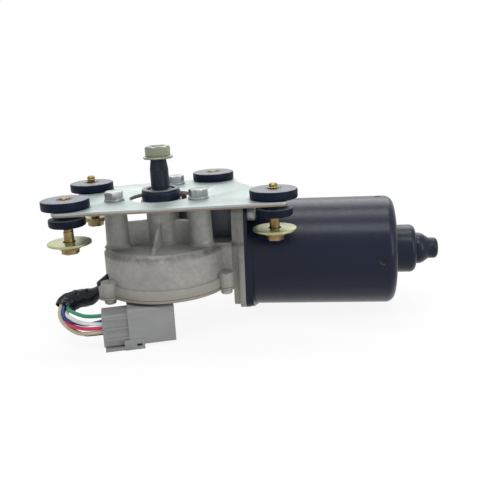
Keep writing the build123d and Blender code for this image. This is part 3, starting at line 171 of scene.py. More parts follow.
class WIPERMOTOR_PG_sizes(PropertyGroup):
    """Sizes of the details that the finished model adds."""
    cast_round: length_property("Cast Rounding", "Rounded edges of the gear housing", 0.7)
    sheet_round: length_property("Sheet Rounding", "Broken edges of pressed sheet", 0.25)
    moulded_round: length_property("Moulded Rounding", "Rounded edges of moulded plastic", 0.35)
    m6_pitch: length_property("M6 Pitch", "Pitch of the M6 threads", 1.0)
    m8_pitch: length_property("M8 Pitch", "Pitch of the spindle's thread", 1.25)
    wire: length_property("Wire", "Outside diameter of each wire", 2.2)
    sleeve_width: length_property("Sleeve Width", "Width of the vinyl sleeve at its mouth", 12.4)
    sleeve_depth: length_property("Sleeve Depth", "Depth of the flattened vinyl sleeve", 7.6)
    serrations: IntProperty(name="Serrations", description="Serrations on the spindle's taper", default=36, min=12)


class WIPERMOTOR_PG_stage(PropertyGroup):
    """Camera and light."""
    eye: FloatVectorProperty(name="Eye", description="Place of the camera", subtype="TRANSLATION",
                             default=(0.09307, -0.37725, 0.06517))
    aim: FloatVectorProperty(name="Aim", description="Direction in which the camera looks", subtype="DIRECTION",
                             default=(-0.1191, 0.9604, -0.2519))
    lean: FloatProperty(name="Lean", description="How far upright lines lean to the left in the picture",
                        subtype="ANGLE", unit="ROTATION", default=radians(3.02))
    lens: FloatProperty(name="Lens", description="Focal length on a 36 mm sensor", default=48.75, min=10.0)
    overhead: FloatProperty(name="Overhead", description="Power of the overhead softbox", unit="POWER", default=3.2)
    back: FloatProperty(name="Back", description="Power of the softbox above and behind", unit="POWER", default=3.9)
    front: FloatProperty(name="Front", description="Power of the softbox above and in front", unit="POWER", default=4.2)
    side: FloatProperty(name="Side", description="Power of the side strip", unit="POWER", default=2.4)


# Shared modelling steps

def mm(steps):
    """The steps of a profile, from millimetres to metres."""
    return [(radius * MM, height * MM) for radius, height in steps]


def middle(node, height=None):
    """The middle of a CAD node's box, at its foot or at a given height."""
    low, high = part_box(node)
    return Vector(((low.x + high.x) / 2, (low.y + high.y) / 2, low.z if height is None else height))


def linked(name, data):
    """A new object in the scene."""
    thing = bpy.data.objects.new(name, data)
    bpy.context.scene.collection.objects.link(thing)
    return thing


def activate(piece):
    """Selects one object alone and makes it the active one."""
    bpy.ops.object.select_all(action="DESELECT")
    piece.select_set(True)
    bpy.context.view_layer.objects.active = piece


def edit(piece):
    """Enters edit mode on one object alone."""
    activate(piece)
    bpy.ops.object.mode_set(mode="EDIT")


def settle():
    """Puts the place, turn and scale of the selected object into its mesh."""
    bpy.ops.object.transform_apply(location=True, rotation=True, scale=True)


def start_primitive(name):
    """Names the primitive that was just added, and enters edit mode with all of it selected."""
    piece = bpy.context.active_object
    piece.name = piece.data.name = name
    activate(piece)
    settle()
    bpy.ops.object.mode_set(mode="EDIT")
    bpy.ops.mesh.select_all(action="SELECT")
    return piece


def end_edit(piece):
    """Merges, turns the faces outwards, leaves edit mode and puts the place into the mesh."""
    bpy.ops.mesh.select_all(action="SELECT")
    bpy.ops.mesh.remove_doubles(threshold=1e-7)
    bpy.ops.mesh.normals_make_consistent(inside=False)
    bpy.ops.object.mode_set(mode="OBJECT")
    activate(piece)
    settle()
    return piece


def modify(piece, name, kind, **settings):
    """Gives a piece a modifier with its settings, and applies it."""
    modifier = piece.modifiers.new(name, kind)
    for setting, value in settings.items():
        setattr(modifier, setting, value)
    activate(piece)
    bpy.ops.object.modifier_apply(modifier=modifier.name)


def cut(piece, tool, operation):
    """Cuts a piece with another, which is then removed."""
    modify(piece, "Cut", "BOOLEAN", operation=operation, solver="EXACT", object=tool)
    bpy.data.objects.remove(tool)


def smooth(piece, sharp=SHARP_DEGREES):
    """Smooths a piece up to an angle."""
    activate(piece)
    bpy.ops.object.shade_smooth_by_angle(angle=radians(sharp))
    return piece


def soften(piece, width, segments=2):
    """Rounds the sharp edges of a piece and smooths what lies between them."""
    modify(piece, "Edge Rounding", "BEVEL", width=width, segments=segments, limit_method="ANGLE",
           angle_limit=radians(SHARP_DEGREES), use_clamp_overlap=True)
    return smooth(piece)


def turned(name, centre, steps, sides=64, turn=0.0):
    """A turned solid: a disc at the first (radius, height) step, extruded and resized to each further step."""
    radius, height = steps[0]
    bpy.ops.mesh.primitive_circle_add(vertices=sides, radius=radius, fill_type="NGON", rotation=(0.0, 0.0, turn),
                                      location=Vector(centre) + Vector((0.0, 0.0, height)))
    piece = start_primitive(name)
    for next_radius, next_height in steps[1:]:
        bpy.ops.mesh.extrude_region_move(TRANSFORM_OT_translate={"value": (0.0, 0.0, next_height - height)})
        share = next_radius / radius
        bpy.ops.transform.resize(value=(share, share, 1.0),
                                 center_override=Vector(centre) + Vector((0.0, 0.0, next_height)))
        radius, height = next_radius, next_height
    return end_edit(piece)


def pick(piece, kind, wanted):
    """Goes into edit mode with only those faces or vertices selected that a test picks."""
    edit(piece)
    bpy.ops.mesh.select_mode(type=kind)
    bpy.ops.mesh.select_all(action="DESELECT")
    bpy.ops.object.mode_set(mode="OBJECT")
    for part in piece.data.polygons if kind == "FACE" else piece.data.vertices:
        part.select = wanted(part)
    bpy.ops.object.mode_set(mode="EDIT")


def bored(piece):
    """Opens both flat ends of a turned piece and joins their rims into a bore."""
    most = max(len(face.vertices) for face in piece.data.polygons)
    pick(piece, "FACE", lambda face: len(face.vertices) == most)
    bpy.ops.mesh.delete(type="ONLY_FACE")
    bpy.ops.mesh.select_mode(type="EDGE")
    bpy.ops.mesh.select_non_manifold(extend=False, use_wire=False, use_multi_face=False, use_non_contiguous=False,
                                     use_verts=False)
    bpy.ops.mesh.bridge_edge_loops()
    bpy.ops.mesh.select_mode(type="VERT")
    return end_edit(piece)


def serrated(piece, centre, low, high, least, teeth, share):
    """Pulls every second vertex of a turned piece towards its axis, between two heights and beyond a radius."""
    def inward(vertex):
        arm = vertex.co - Vector(centre)
        place = round(atan2(arm.y, arm.x) / (pi / teeth))
        return place % 2 == 0 and low <= arm.z <= high and arm.xy.length > least

    pick(piece, "VERT", inward)
    bpy.ops.transform.resize(value=(share, share, 1.0), center_override=centre)
    bpy.ops.object.mode_set(mode="OBJECT")
    return piece


def hexagon(name, centre, across_flats, height, turn=0.0):
    """A hexagon prism whose top corners are cut by a cone."""
    corner = across_flats / 2 / cos(pi / 6)
    piece = turned(name, centre, [(corner, 0.0), (corner, height)], sides=6, turn=turn)
    wide, face = 1.1 * corner, 0.47 * across_flats
    cone = turned(name + "_cone", centre, [(wide, -0.1 * height), (wide, height - 0.5 * (wide - face)),
                                           (face, 1.0001 * height)], sides=96)
    cut(piece, cone, "INTERSECT")
    return soften(piece, 0.12 * MM)


def thread(name, centre, radius, pitch, low, high):
    """A screw thread: one ridge profile as tall as the pitch, wound up by the Screw modifier."""
    root, crest, turn_steps = radius - 0.55 * pitch, radius - 0.06 * pitch, 28
    ridge = [(root, 0.0), (root, 0.08), (crest, 0.44), (crest, 0.56), (root, 0.92), (root, 1.0)]
    points = [Vector((r, 0.0, share * pitch)) for r, share in ridge]
    bpy.ops.mesh.primitive_plane_add(size=MM, location=points[0])
    piece = start_primitive(name)
    bpy.ops.mesh.merge(type="CENTER")
    for before, after in zip(points[:-1], points[1:]):
        bpy.ops.mesh.extrude_vertices_move(TRANSFORM_OT_translate={"value": after - before})
    end_edit(piece)
    modify(piece, "Thread", "SCREW", axis="Z", angle=2 * pi, screw_offset=pitch, steps=turn_steps,
           render_steps=turn_steps, iterations=int((high - low) / pitch) - 1, use_merge_vertices=True,
           merge_threshold=1e-6, use_smooth_shade=False)
    piece.location = Vector(centre) + Vector((0.0, 0.0, low))
    edit(piece)
    return end_edit(piece)


def joined(name, first, *others):
    """Joins pieces into the first one."""
    activate(first)
    for piece in others:
        piece.select_set(True)
    bpy.ops.object.join()
    first.name = first.data.name = name
    return first


def moved_copy(piece, name, shift):
    """A copy with its own mesh, moved by a shift."""
    activate(piece)
    bpy.ops.object.duplicate(linked=False)
    copy = bpy.context.active_object
    copy.name = copy.data.name = name
    copy.location = shift
    activate(copy)
    settle()
    return copy


def place_piece(piece, material, node, body="motor_frame"):
    """Gives a finished piece its material and its body, and hides the CAD node that it stands for."""
    piece.data.materials.clear()
    piece.data.materials.append(material)
    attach(piece, body)
    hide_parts(node)


def dressed(node, name, material, width, segments=2):
    """Shows a merged copy of a CAD node with its sharp edges rounded in the node's place."""
    piece = linked(name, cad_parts[node].data.copy())
    edit(piece)
    bpy.ops.mesh.select_all(action="SELECT")
    bpy.ops.mesh.remove_doubles(threshold=2e-6)
    bpy.ops.mesh.dissolve_limited(angle_limit=radians(0.6), delimit={"NORMAL"})
    bpy.ops.object.mode_set(mode="OBJECT")
    soften(piece, width, segments)
    place_piece(piece, material, node)


def finish_nodes(material, *nodes):
    """Gives a better material to CAD nodes that are shown as they are."""
    for node in nodes:
        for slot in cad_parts[node].material_slots:
            slot.material = material


# Shared shader nodes and pattern groups

def math_node(tree, operation, first, second=None, clamp=False):
    """A Math node; each operand is a socket or a number."""
    node = tree.nodes.new("ShaderNodeMath")
    node.operation = operation
    node.use_clamp = clamp
    for k, operand in enumerate((first, second)):
        if isinstance(operand, (int, float)):
            node.inputs[k].default_value = operand
        elif operand is not None:
            tree.links.new(operand, node.inputs[k])
    return node.outputs[0]


def noise_node(tree, vector, scale, detail, roughness, distortion=0.0):
    """A Noise Texture fed with coordinates and a scale."""
    node = tree.nodes.new("ShaderNodeTexNoise")
    tree.links.new(vector, node.inputs["Vector"])
    tree.links.new(scale, node.inputs["Scale"])
    for socket, number in (("Detail", detail), ("Roughness", roughness), ("Distortion", distortion)):
        node.inputs[socket].default_value = number
    return node.outputs["Fac"]


def range_node(tree, value, low, high, new_low=0.0, new_high=1.0):
    """A clamped Map Range node."""
    node = tree.nodes.new("ShaderNodeMapRange")
    tree.links.new(value, node.inputs["Value"])
    for socket, number in (("From Min", low), ("From Max", high), ("To Min", new_low), ("To Max", new_high)):
        node.inputs[socket].default_value = number
    return node.outputs["Result"]


def z_part(tree, vector):
    """The Z part of a vector."""
    split = tree.nodes.new("ShaderNodeSeparateXYZ")
    tree.links.new(vector, split.inputs[0])
    return split.outputs["Z"]


def seen_rays(tree):
    """One for a ray of the camera, of a reflection or through glass, and none for a ray of light."""
    rays = tree.nodes.new("ShaderNodeLightPath").outputs
    seen = math_node(tree, "ADD", rays["Is Camera Ray"], rays["Is Glossy Ray"])
    return math_node(tree, "ADD", seen, rays["Is Transmission Ray"], clamp=True)


def pattern_group(name, inputs, outputs):
    """An empty shader group, returned with the sockets that it is given and those that it puts out."""
    group = bpy.data.node_groups.new(name, "ShaderNodeTree")
    for socket in inputs:
        kind = "Vector" if socket in ("Vector", "Normal") else "Float"
        group.interface.new_socket(socket, in_out="INPUT", socket_type="NodeSocket" + kind)
    for socket in outputs:
        group.interface.new_socket(socket, in_out="OUTPUT", socket_type="NodeSocketFloat")
    return group, group.nodes.new("NodeGroupInput").outputs, group.nodes.new("NodeGroupOutput").inputs


def make_grain_group():
    """Fine and coarse grain of a cast or moulded surface, as a height and a mask."""
    group, given, result = pattern_group("Cast Grain", ("Vector", "Fine Scale", "Coarse Scale", "Coarse Share"),
                                         ("Height", "Mask"))
    fine = noise_node(group, given["Vector"], given["Fine Scale"], 3.0, 0.6)
    coarse = noise_node(group, given["Vector"], given["Coarse Scale"], 4.0, 0.55)
    height = math_node(group, "ADD", math_node(group, "MULTIPLY", fine, 0.5),
                       math_node(group, "MULTIPLY", coarse, given["Coarse Share"]))
    group.links.new(height, result["Height"])
    group.links.new(range_node(group, coarse, 0.35, 0.65), result["Mask"])
    return group


def make_blotch_group():
    """Broad soft patches of another tone."""
    group, given, result = pattern_group("Soft Patches", ("Vector", "Scale", "Threshold", "Softness"), ("Mask",))
    patches = noise_node(group, given["Vector"], given["Scale"], 5.0, 0.6, distortion=0.6)
    above = math_node(group, "SUBTRACT", patches, given["Threshold"])
    share = math_node(group, "ADD", math_node(group, "DIVIDE", above, given["Softness"]), 0.5, clamp=True)
    group.links.new(share, result["Mask"])
    return group


def make_scratch_group():
    """Fine straight scuffs and rolling marks, stretched along one direction by the incoming vector."""
    group, given, result = pattern_group("Fine Scuffs", ("Vector", "Scale", "Amount"), ("Mask", "Height"))
    lines = noise_node(group, given["Vector"], given["Scale"], 6.0, 0.7)
    sparse = range_node(group, lines, 0.55, 0.75)
    group.links.new(math_node(group, "MULTIPLY", sparse, given["Amount"]), result["Mask"])
    group.links.new(lines, result["Height"])
    return group


def make_dust_group():
    """Dust that has settled on faces that look up."""
    group, given, result = pattern_group("Settled Dust", ("Vector", "Normal", "Scale", "Amount"), ("Mask",))
    upward = range_node(group, z_part(group, given["Normal"]), 0.4, 0.95)
    specks = noise_node(group, given["Vector"], given["Scale"], 4.0, 0.7)
    mask = math_node(group, "MULTIPLY", upward, range_node(group, specks, 0.4, 0.7))
    group.links.new(math_node(group, "MULTIPLY", mask, given["Amount"]), result["Mask"])
    return group


GROUP_MAKERS = {"Cast Grain": make_grain_group, "Soft Patches": make_blotch_group,
                "Fine Scuffs": make_scratch_group, "Settled Dust": make_dust_group}


class Finish:
    """A Principled material in the making, with short steps that wire its shared pattern groups."""

    def __init__(self, name, roughness, metallic=0.0, specular=0.5):
        self.material = bpy.data.materials.new(name)
        self.material.use_nodes = True
        self.tree = self.material.node_tree
        self.shader = self.tree.nodes["Principled BSDF"]
        for socket, value in (("Roughness", roughness), ("Metallic", metallic), ("Specular IOR Level", specular)):
            self.shader.inputs[socket].default_value = value
        place = self.tree.nodes.new("ShaderNodeTexCoord")
        self.vector = place.outputs["Object"]
        self.normal = place.outputs["Normal"]

    def stretched(self, x, y, z):
        """Object coordinates stretched by a Mapping node."""
        mapping = self.tree.nodes.new("ShaderNodeMapping")
        self.tree.links.new(self.vector, mapping.inputs["Vector"])
        mapping.inputs["Scale"].default_value = (x, y, z)
        return mapping.outputs["Vector"]

    def distance(self, place):
        """How far the surface is from a place."""
        node = self.tree.nodes.new("ShaderNodeVectorMath")
        node.operation = "DISTANCE"
        self.tree.links.new(self.vector, node.inputs[0])
        node.inputs[1].default_value = place
        return node.outputs["Value"]

    def pattern(self, name, vector=None, **values):
        """Places a shared group, fed with coordinates, with its own values."""
        node = self.tree.nodes.new("ShaderNodeGroup")
        node.node_tree = bpy.data.node_groups.get(name) or GROUP_MAKERS[name]()
        self.tree.links.new(vector or self.vector, node.inputs["Vector"])
        if "Normal" in node.inputs:
            self.tree.links.new(self.normal, node.inputs["Normal"])
        for socket, value in values.items():
            node.inputs[socket.replace("_", " ").title()].default_value = value
        return node.outputs

    def grain(self, fine, coarse, share=0.4):
        """Height and mask of a fine and a coarse grain, with the coarse one's share."""
        return self.pattern("Cast Grain", fine_scale=fine, coarse_scale=coarse, coarse_share=share)

    def patches(self, scale, threshold=0.5, softness=0.4, vector=None):
        """Mask of soft patches."""
        return self.pattern("Soft Patches", vector, scale=scale, threshold=threshold, softness=softness)["Mask"]

    def level(self, value, low, high, new_low=0.0, new_high=1.0):
        """A value mapped from one range to another."""
        return range_node(self.tree, value, low, high, new_low, new_high)

    def mixed(self, mask, first, second):
        """A colour that changes from the first to the second over a mask; each is a colour or a socket."""
        mix = self.tree.nodes.new("ShaderNodeMix")
        mix.data_type = "RGBA"
        self.tree.links.new(mask, mix.inputs["Factor"])
        for socket, value in ((mix.inputs[6], first), (mix.inputs[7], second)):
            if isinstance(value, bpy.types.NodeSocket):
                self.tree.links.new(value, socket)
            else:
                socket.default_value = (*value, 1.0)
        return mix.outputs[2]

    def colour(self, mask, first, second):
        """Feeds the base colour, which changes from the first to the second over a mask."""
        self.tree.links.new(self.mixed(mask, first, second), self.shader.inputs["Base Color"])

    def rough(self, mask, low, high):
        """Feeds the roughness, which goes from low to high over a mask."""
        self.tree.links.new(self.level(mask, 0.0, 1.0, low, high), self.shader.inputs["Roughness"])

    def bump(self, height, strength, distance):
        """Feeds a height to the normal through a Bump node."""
        node = self.tree.nodes.new("ShaderNodeBump")
        node.inputs["Strength"].default_value = strength
        node.inputs["Distance"].default_value = distance
        self.tree.links.new(height, node.inputs["Height"])
        self.tree.links.new(node.outputs["Normal"], self.shader.inputs["Normal"])


def shade(colour, factor):
    """A darker or lighter version of a colour."""
    return tuple(min(1.0, v * factor) for v in colour)


def kept(name, maker):
    """The named material, made at its first use."""
    return bpy.data.materials.get(name) or maker()


# Finishes

def two_tone(name, roughness, light, dark, patches=(160.0,), metallic=0.0, specular=0.5, rough=None,
             grain=(2000.0, 420.0), relief=0.1, depth=0.1 * MM):
    """Two tones in soft patches, with the relief of its grain, or of the patches where it has none."""
    made = Finish(name, roughness, metallic, specular)
    mask = made.patches(*patches)
    made.colour(mask, light, dark)
    if rough:
        made.rough(mask, *rough)
    made.bump(made.grain(*grain)["Height"] if grain else mask, relief, depth)
    return made.material


def die_casting():
    """Sand-blasted grey alloy, tanned towards the foot, with darker flow patches and painted shade round the drum's
    seam.
    """
    colours = bpy.context.scene.wiper_colours
    made = Finish("Die Casting", 0.55, metallic=0.2)
    grain = made.grain(2600.0, 420.0, 0.5)
    flow = made.patches(75.0, 0.52, 0.25)
    height = z_part(made.tree, made.vector)
    # Painted shade: darker in soft patches within 2.6 mm of the drum's seam height, for the shade on the pockets'
    # floor.
    from_seam = math_node(made.tree, "ABSOLUTE", math_node(made.tree, "ADD", height, -DRUM_SEAM_Z))
    painted_seam_shade = math_node(made.tree, "MULTIPLY", made.level(from_seam, 0.0026, 0.0004, 0.0, 0.85),
                      made.patches(230.0, 0.42, 0.35))
    light = made.mixed(flow, colours.casting, shade(colours.casting, 0.84))
    dark = made.mixed(flow, shade(colours.casting, 0.9), shade(colours.casting, 0.74))
    toned = made.mixed(painted_seam_shade, made.mixed(grain["Mask"], light, dark), shade(colours.casting_low, 0.36))
    made.colour(made.level(height, -0.050, -0.056, 0.0, 0.8), toned, colours.casting_low)
    made.rough(grain["Mask"], 0.48, 0.62)
    made.bump(grain["Height"], 0.5, 0.25 * MM)
    return made.material


def black_enamel():
    """Gloss black enamel with slight orange peel, a little dust, and painted shade and a painted highlight in the front
    dimple.
    """
    made = Finish("Black Enamel", 0.28, specular=0.27)
    peel = made.grain(900.0, 260.0, 0.5)
    dust = made.pattern("Settled Dust", scale=1500.0, amount=0.05)
    low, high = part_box("end_cap")
    dimple = (low + high) / 2 + Vector((0.0, -33.7, 1.8)) * MM
    dimple.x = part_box("motor_can")[1].x - 22.5 * MM
    reach = made.distance(dimple)
    dusted = made.mixed(dust["Mask"], bpy.context.scene.wiper_colours.can, tone(150, 150, 150))
    # Painted shade: near black within 1.6 mm of the dimple's centre, fading out by 2.2 mm; within 1 mm, a painted
    # highlight halfway to blue-grey.
    pit_shaded = made.mixed(made.level(reach, 0.0022, 0.0016), dusted, tone(1, 2, 5))
    made.colour(made.level(reach, 0.0010, 0.0006, 0.0, 0.5), pit_shaded, tone(84, 88, 102))
    made.rough(peel["Mask"], 0.27, 0.33)
    made.bump(peel["Height"], 0.06, 0.1 * MM)
    return made.material


def zinc_sheet():
    """Passivated zinc on pressed sheet: cloudy pale green on its faces, brown steel low on its sheared edges."""
    colours = bpy.context.scene.wiper_colours
    made = Finish("Zinc Sheet", 0.42, metallic=0.5)
    clouds = made.patches(45.0, softness=0.35)
    rolling = made.pattern("Fine Scuffs", made.stretched(6.0, 60.0, 60.0), scale=22.0, amount=0.5)
    upward = math_node(made.tree, "ABSOLUTE", z_part(made.tree, made.normal))
    torn = math_node(made.tree, "ADD", z_part(made.tree, made.vector),
                     math_node(made.tree, "MULTIPLY", rolling["Height"], 0.0012))
    side = math_node(made.tree, "MULTIPLY", made.level(upward, 0.75, 0.5), made.level(torn, -0.0058, -0.0064))
    face = made.mixed(clouds, colours.plate, shade(colours.plate, 0.82))
    made.colour(side, face, made.mixed(rolling["Mask"], colours.plate_edge, shade(colours.plate_edge, 0.6)))
    made.rough(clouds, 0.36, 0.50)
    made.bump(rolling["Height"], 0.08, 0.1 * MM)
    return made.material


def bright_zinc():
    """Blue-white zinc on screws and nuts, with thin yellowish patches."""
    return two_tone("Bright Zinc", 0.36, bpy.context.scene.wiper_colours.zinc, tone(104, 104, 84),
                    (110.0, 0.58, 0.12), 0.4, rough=(0.32, 0.44), grain=(3000.0, 600.0), depth=0.08 * MM)


def yellow_zinc():
    """Gold passivation that drifts to pale green and brown."""
    made = Finish("Yellow Zinc", 0.32, metallic=0.75)
    drift = made.patches(120.0)
    stain = made.patches(260.0, 0.62, 0.2)
    gold = made.mixed(drift, bpy.context.scene.wiper_colours.yellow_zinc, tone(156, 142, 98))
    made.colour(stain, gold, tone(96, 72, 46))
    made.rough(drift, 0.24, 0.38)
    made.bump(stain, 0.05, 0.1 * MM)
    return made.material


def cushion_rubber():
    """Moulded black rubber with painted light on the faces that look up: painted pale grey in soft patches."""
    colours = bpy.context.scene.wiper_colours
    made = Finish("Cushion Rubber", 0.5, specular=0.12)
    grain = made.grain(2200.0, 500.0)
    top_light_patches = made.patches(140.0, 0.45, 0.5)
    # Painted light: faces that look up take the pale top colour, the sides the near-black rubber colour.
    face = made.mixed(top_light_patches, shade(colours.rubber_top_light, 0.85), colours.rubber_top_light)
    side = made.mixed(grain["Mask"], colours.rubber_side, shade(colours.rubber_side, 0.7))
    made.colour(made.level(z_part(made.tree, made.normal), 0.5, 0.9), side, face)
    made.rough(grain["Mask"], 0.42, 0.58)
    made.bump(grain["Height"], 0.2, 0.1 * MM)
    return made.material


def seal_rubber():
    """Smooth oily black rubber."""
    made = Finish("Seal Rubber", 0.4, specular=0.15)
    grain = made.grain(1800.0, 380.0)
    made.colour(grain["Mask"], tone(16, 24, 42), tone(30, 38, 56))
    made.bump(grain["Height"], 0.12, 0.1 * MM)
    return made.material


def blackened_steel():
    """Black oxide on the output spindle, with thin scuffs that show steel."""
    made = Finish("Blackened Steel", 0.42, metallic=0.3, specular=0.3)
    scuffs = made.pattern("Fine Scuffs", made.stretched(20.0, 20.0, 4.0), scale=90.0, amount=0.5)
    made.colour(scuffs["Mask"], tone(26, 32, 46), tone(84, 88, 98))
    made.bump(scuffs["Height"], 0.1, 0.08 * MM)
    return made.material


def ground_steel():
    """Ground or stamped bright steel of inner pieces."""
    made = Finish("Ground Steel", 0.3, metallic=0.95)
    scuffs = made.pattern("Fine Scuffs", made.stretched(4.0, 30.0, 30.0), scale=60.0, amount=0.6)
    made.colour(scuffs["Mask"], tone(176, 178, 180), tone(120, 122, 126))
    made.bump(scuffs["Height"], 0.06, 0.1 * MM)
    return made.material


def sleeve_steel():
    """Steel of the cushions' sleeves: bright below, and dark at the top end."""
    made = Finish("Sleeve Steel", 0.4, metallic=0.7)
    patches = made.patches(180.0)
    bright = made.mixed(patches, tone(170, 168, 150), tone(128, 124, 104))
    made.colour(made.level(z_part(made.tree, made.vector), -0.004, -0.002), bright, tone(40, 42, 48))
    made.rough(patches, 0.34, 0.5)
    return made.material


def moulded_plastic(name, colour, roughness):
    """Moulded plastic with a spark-eroded grain and pale flow marks."""
    made = Finish(name, roughness, specular=0.4)
    grain = made.grain(2400.0, 600.0, 0.35)
    made.colour(made.patches(60.0, 0.5, 0.5, made.stretched(1.0, 1.0, 3.0)), colour, shade(colour, 0.88))
    made.rough(grain["Mask"], roughness - 0.06, roughness + 0.08)
    made.bump(grain["Height"], 0.16, 0.12 * MM)
    return made.material


# Pieces

class WIPERMOTOR_OT_housing(Operator):
    """Shows the gear housing as a rounded casting, with its cover, gasket and terminal cover"""
    bl_idname = "wiper_motor.housing"
    bl_label = "Gear Housing"

    def execute(self, context):
        sizes, low = context.scene.wiper_sizes, context.scene.wiper_colours.casting_low
        dressed("gear_housing", "housing_casting", die_casting(), sizes.cast_round)
        cover = two_tone("Cover Sheet", 0.5, low, shade(low, 0.8), (90.0, 0.5, 0.35), 0.4,
                         grain=(2600.0, 420.0, 0.5), relief=0.3, depth=0.2 * MM)
        dressed("gear_cover", "housing_cover", cover, sizes.sheet_round)
        finish_nodes(two_tone("Gasket Paper", 0.85, tone(138, 115, 88), tone(104, 84, 62), (300.0,)), "cover_gasket")
        # Painted light: the black terminal cover is painted blue-grey, lighter than black, to stand in for the light
        # that the shade under the plate keeps from it.
        black = moulded_plastic("Black Moulding", tone(82, 88, 100), 0.42)
        dressed("terminal_cover", "terminal_box", black, sizes.moulded_round)
        return {"FINISHED"}


class WIPERMOTOR_OT_plate(Operator):
    """Shows the mounting plate with broken edges and its zinc"""
    bl_idname = "wiper_motor.plate"
    bl_label = "Mounting Plate"

    def execute(self, context):
        dressed("mounting_plate", "plate_sheet", zinc_sheet(), context.scene.wiper_sizes.sheet_round)
        return {"FINISHED"}


class WIPERMOTOR_OT_can(Operator):
    """Shows the motor can and its end cap in gloss black enamel"""
    bl_idname = "wiper_motor.can"
    bl_label = "Motor Can"

    def execute(self, context):
        enamel = black_enamel()
        dressed("motor_can", "can_shell", enamel, 0.5 * MM, segments=3)
        dressed("end_cap", "end_cap_shell", enamel, 0.3 * MM)
        return {"FINISHED"}


class WIPERMOTOR_OT_inside(Operator):
    """Gives the pieces inside the housing and the can their finishes"""
    bl_idname = "wiper_motor.inside"
    bl_label = "Inner Pieces"

    def execute(self, context):
        for name, (light, dark, roughness, metallic, scale, nodes) in INNER_FINISHES.items():
            finish_nodes(two_tone(name, roughness, tone(*light), tone(*dark), (scale,), metallic), *nodes)
        finish_nodes(ground_steel(), "thrust_washer", "thrust_ball", "rear_bush_clips", "brush_springs")
        finish_nodes(kept("Blackened Steel", blackened_steel), "armature_shaft", "shaft_circlip")
        finish_nodes(sleeve_steel(), "cushion_sleeves")
        return {"FINISHED"}


class WIPERMOTOR_OT_cushions(Operator):
    """Models the rubber cushions with a pinched waist and a dished top"""
    bl_idname = "wiper_motor.cushions"
    bl_label = "Rubber Cushions"

    def execute(self, context):
        rubber = cushion_rubber()
        first = middle("cushion_left_front", 0.0)
        moulding = turned("cushion_moulding_left_front", first, mm(CUSHION_PROFILE), sides=96)
        smooth(bored(moulding), 40)
        for corner in CORNERS:
            shift = middle(f"cushion_{corner}", 0.0) - first
            piece = moved_copy(moulding, f"cushion_moulding_{corner}", shift) if shift.length else moulding
            place_piece(piece, rubber, f"cushion_{corner}")
        return {"FINISHED"}


class WIPERMOTOR_OT_mounting_bolts(Operator):
    """Models the flanged M6 mounting bolts with real threads, and the wide washers"""
    bl_idname = "wiper_motor.mounting_bolts"
    bl_label = "Mounting Bolts"

    def execute(self, context):
        pitch, colour = context.scene.wiper_sizes.m6_pitch, context.scene.wiper_colours.washer
        gold = yellow_zinc()
        pale = two_tone("Pale Yellow Zinc", 0.3, colour, shade(colour, 0.86), (70.0, 0.5, 0.5), 0.8,
                        rough=(0.24, 0.38), grain=None, relief=0.04)
        for number, corner in enumerate(CORNERS):
            name, node, washer_node = f"bolt_{corner}", f"mounting_bolt_{corner}", f"mounting_washer_{corner}"
            foot = middle(node)
            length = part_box(node)[1].z - foot.z
            head = hexagon(name + "_head", foot, 9.0 * MM, 2.9 * MM, turn=radians(25 * number))
            tip = ((2.5, length / MM - 0.7), (1.9, length / MM))
            flange = turned(name + "_flange", foot, mm(BOLT_PROFILE + tip), sides=72)
            serrated(flange, foot, 2.6 * MM, 5.6 * MM, 5.5 * MM, 36, 0.965)
            ridge = thread(name + "_thread", foot, 3.0 * MM, pitch, 13.2 * MM, length - 0.8 * MM)
            bolt = joined(name, smooth(flange, 28), head, smooth(ridge, 28))
            place_piece(bolt, gold, node, name)
            if washer_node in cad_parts:
                washer = bored(turned(f"washer_{corner}", middle(washer_node), mm(WASHER_PROFILE), sides=96))
                place_piece(smooth(washer), pale, washer_node, name)
        return {"FINISHED"}


class WIPERMOTOR_OT_screws(Operator):
    """Models the hexagon plate screws, the cover screws and the can screws"""
    bl_idname = "wiper_motor.screws"
    bl_label = "Screws"

    def execute(self, context):
        zinc = bright_zinc()
        screws = []
        for number, (x, y) in enumerate(PLATE_SCREW_SPOTS):
            centre = Vector((x, y, -4.1)) * MM
            head = hexagon(f"plate_screw_{number}", centre, 10.0 * MM, 4.3 * MM, turn=radians(8 + 21 * number))
            shank = turned(f"plate_shank_{number}", centre, mm(((2.95, 0.3), (2.95, -14.0))), sides=32)
            screws.append(joined(f"plate_screw_{number}", head, shank))
        place_piece(joined("plate_screw_set", *screws), zinc, "plate_screws")
        for node, name, width, slot in (("plate_screw_washers", "plate_screw_washer_set", 0.25, "zinc_bright"),
                                        ("cover_screws", "cover_screw_set", 0.2, "zinc_yellow"),
                                        ("can_screws", "can_screw_set", 0.2, "zinc_yellow"),
                                        ("can_screw_washers", "can_screw_washer_set", 0.2, "zinc_bright"),
                                        ("thrust_screw", "thrust_adjuster", 0.2, "zinc_bright"),
                                        ("thrust_nut", "thrust_lock_nut", 0.2, "zinc_bright")):
            dressed(node, name, zinc, width * MM)
        return {"FINISHED"}


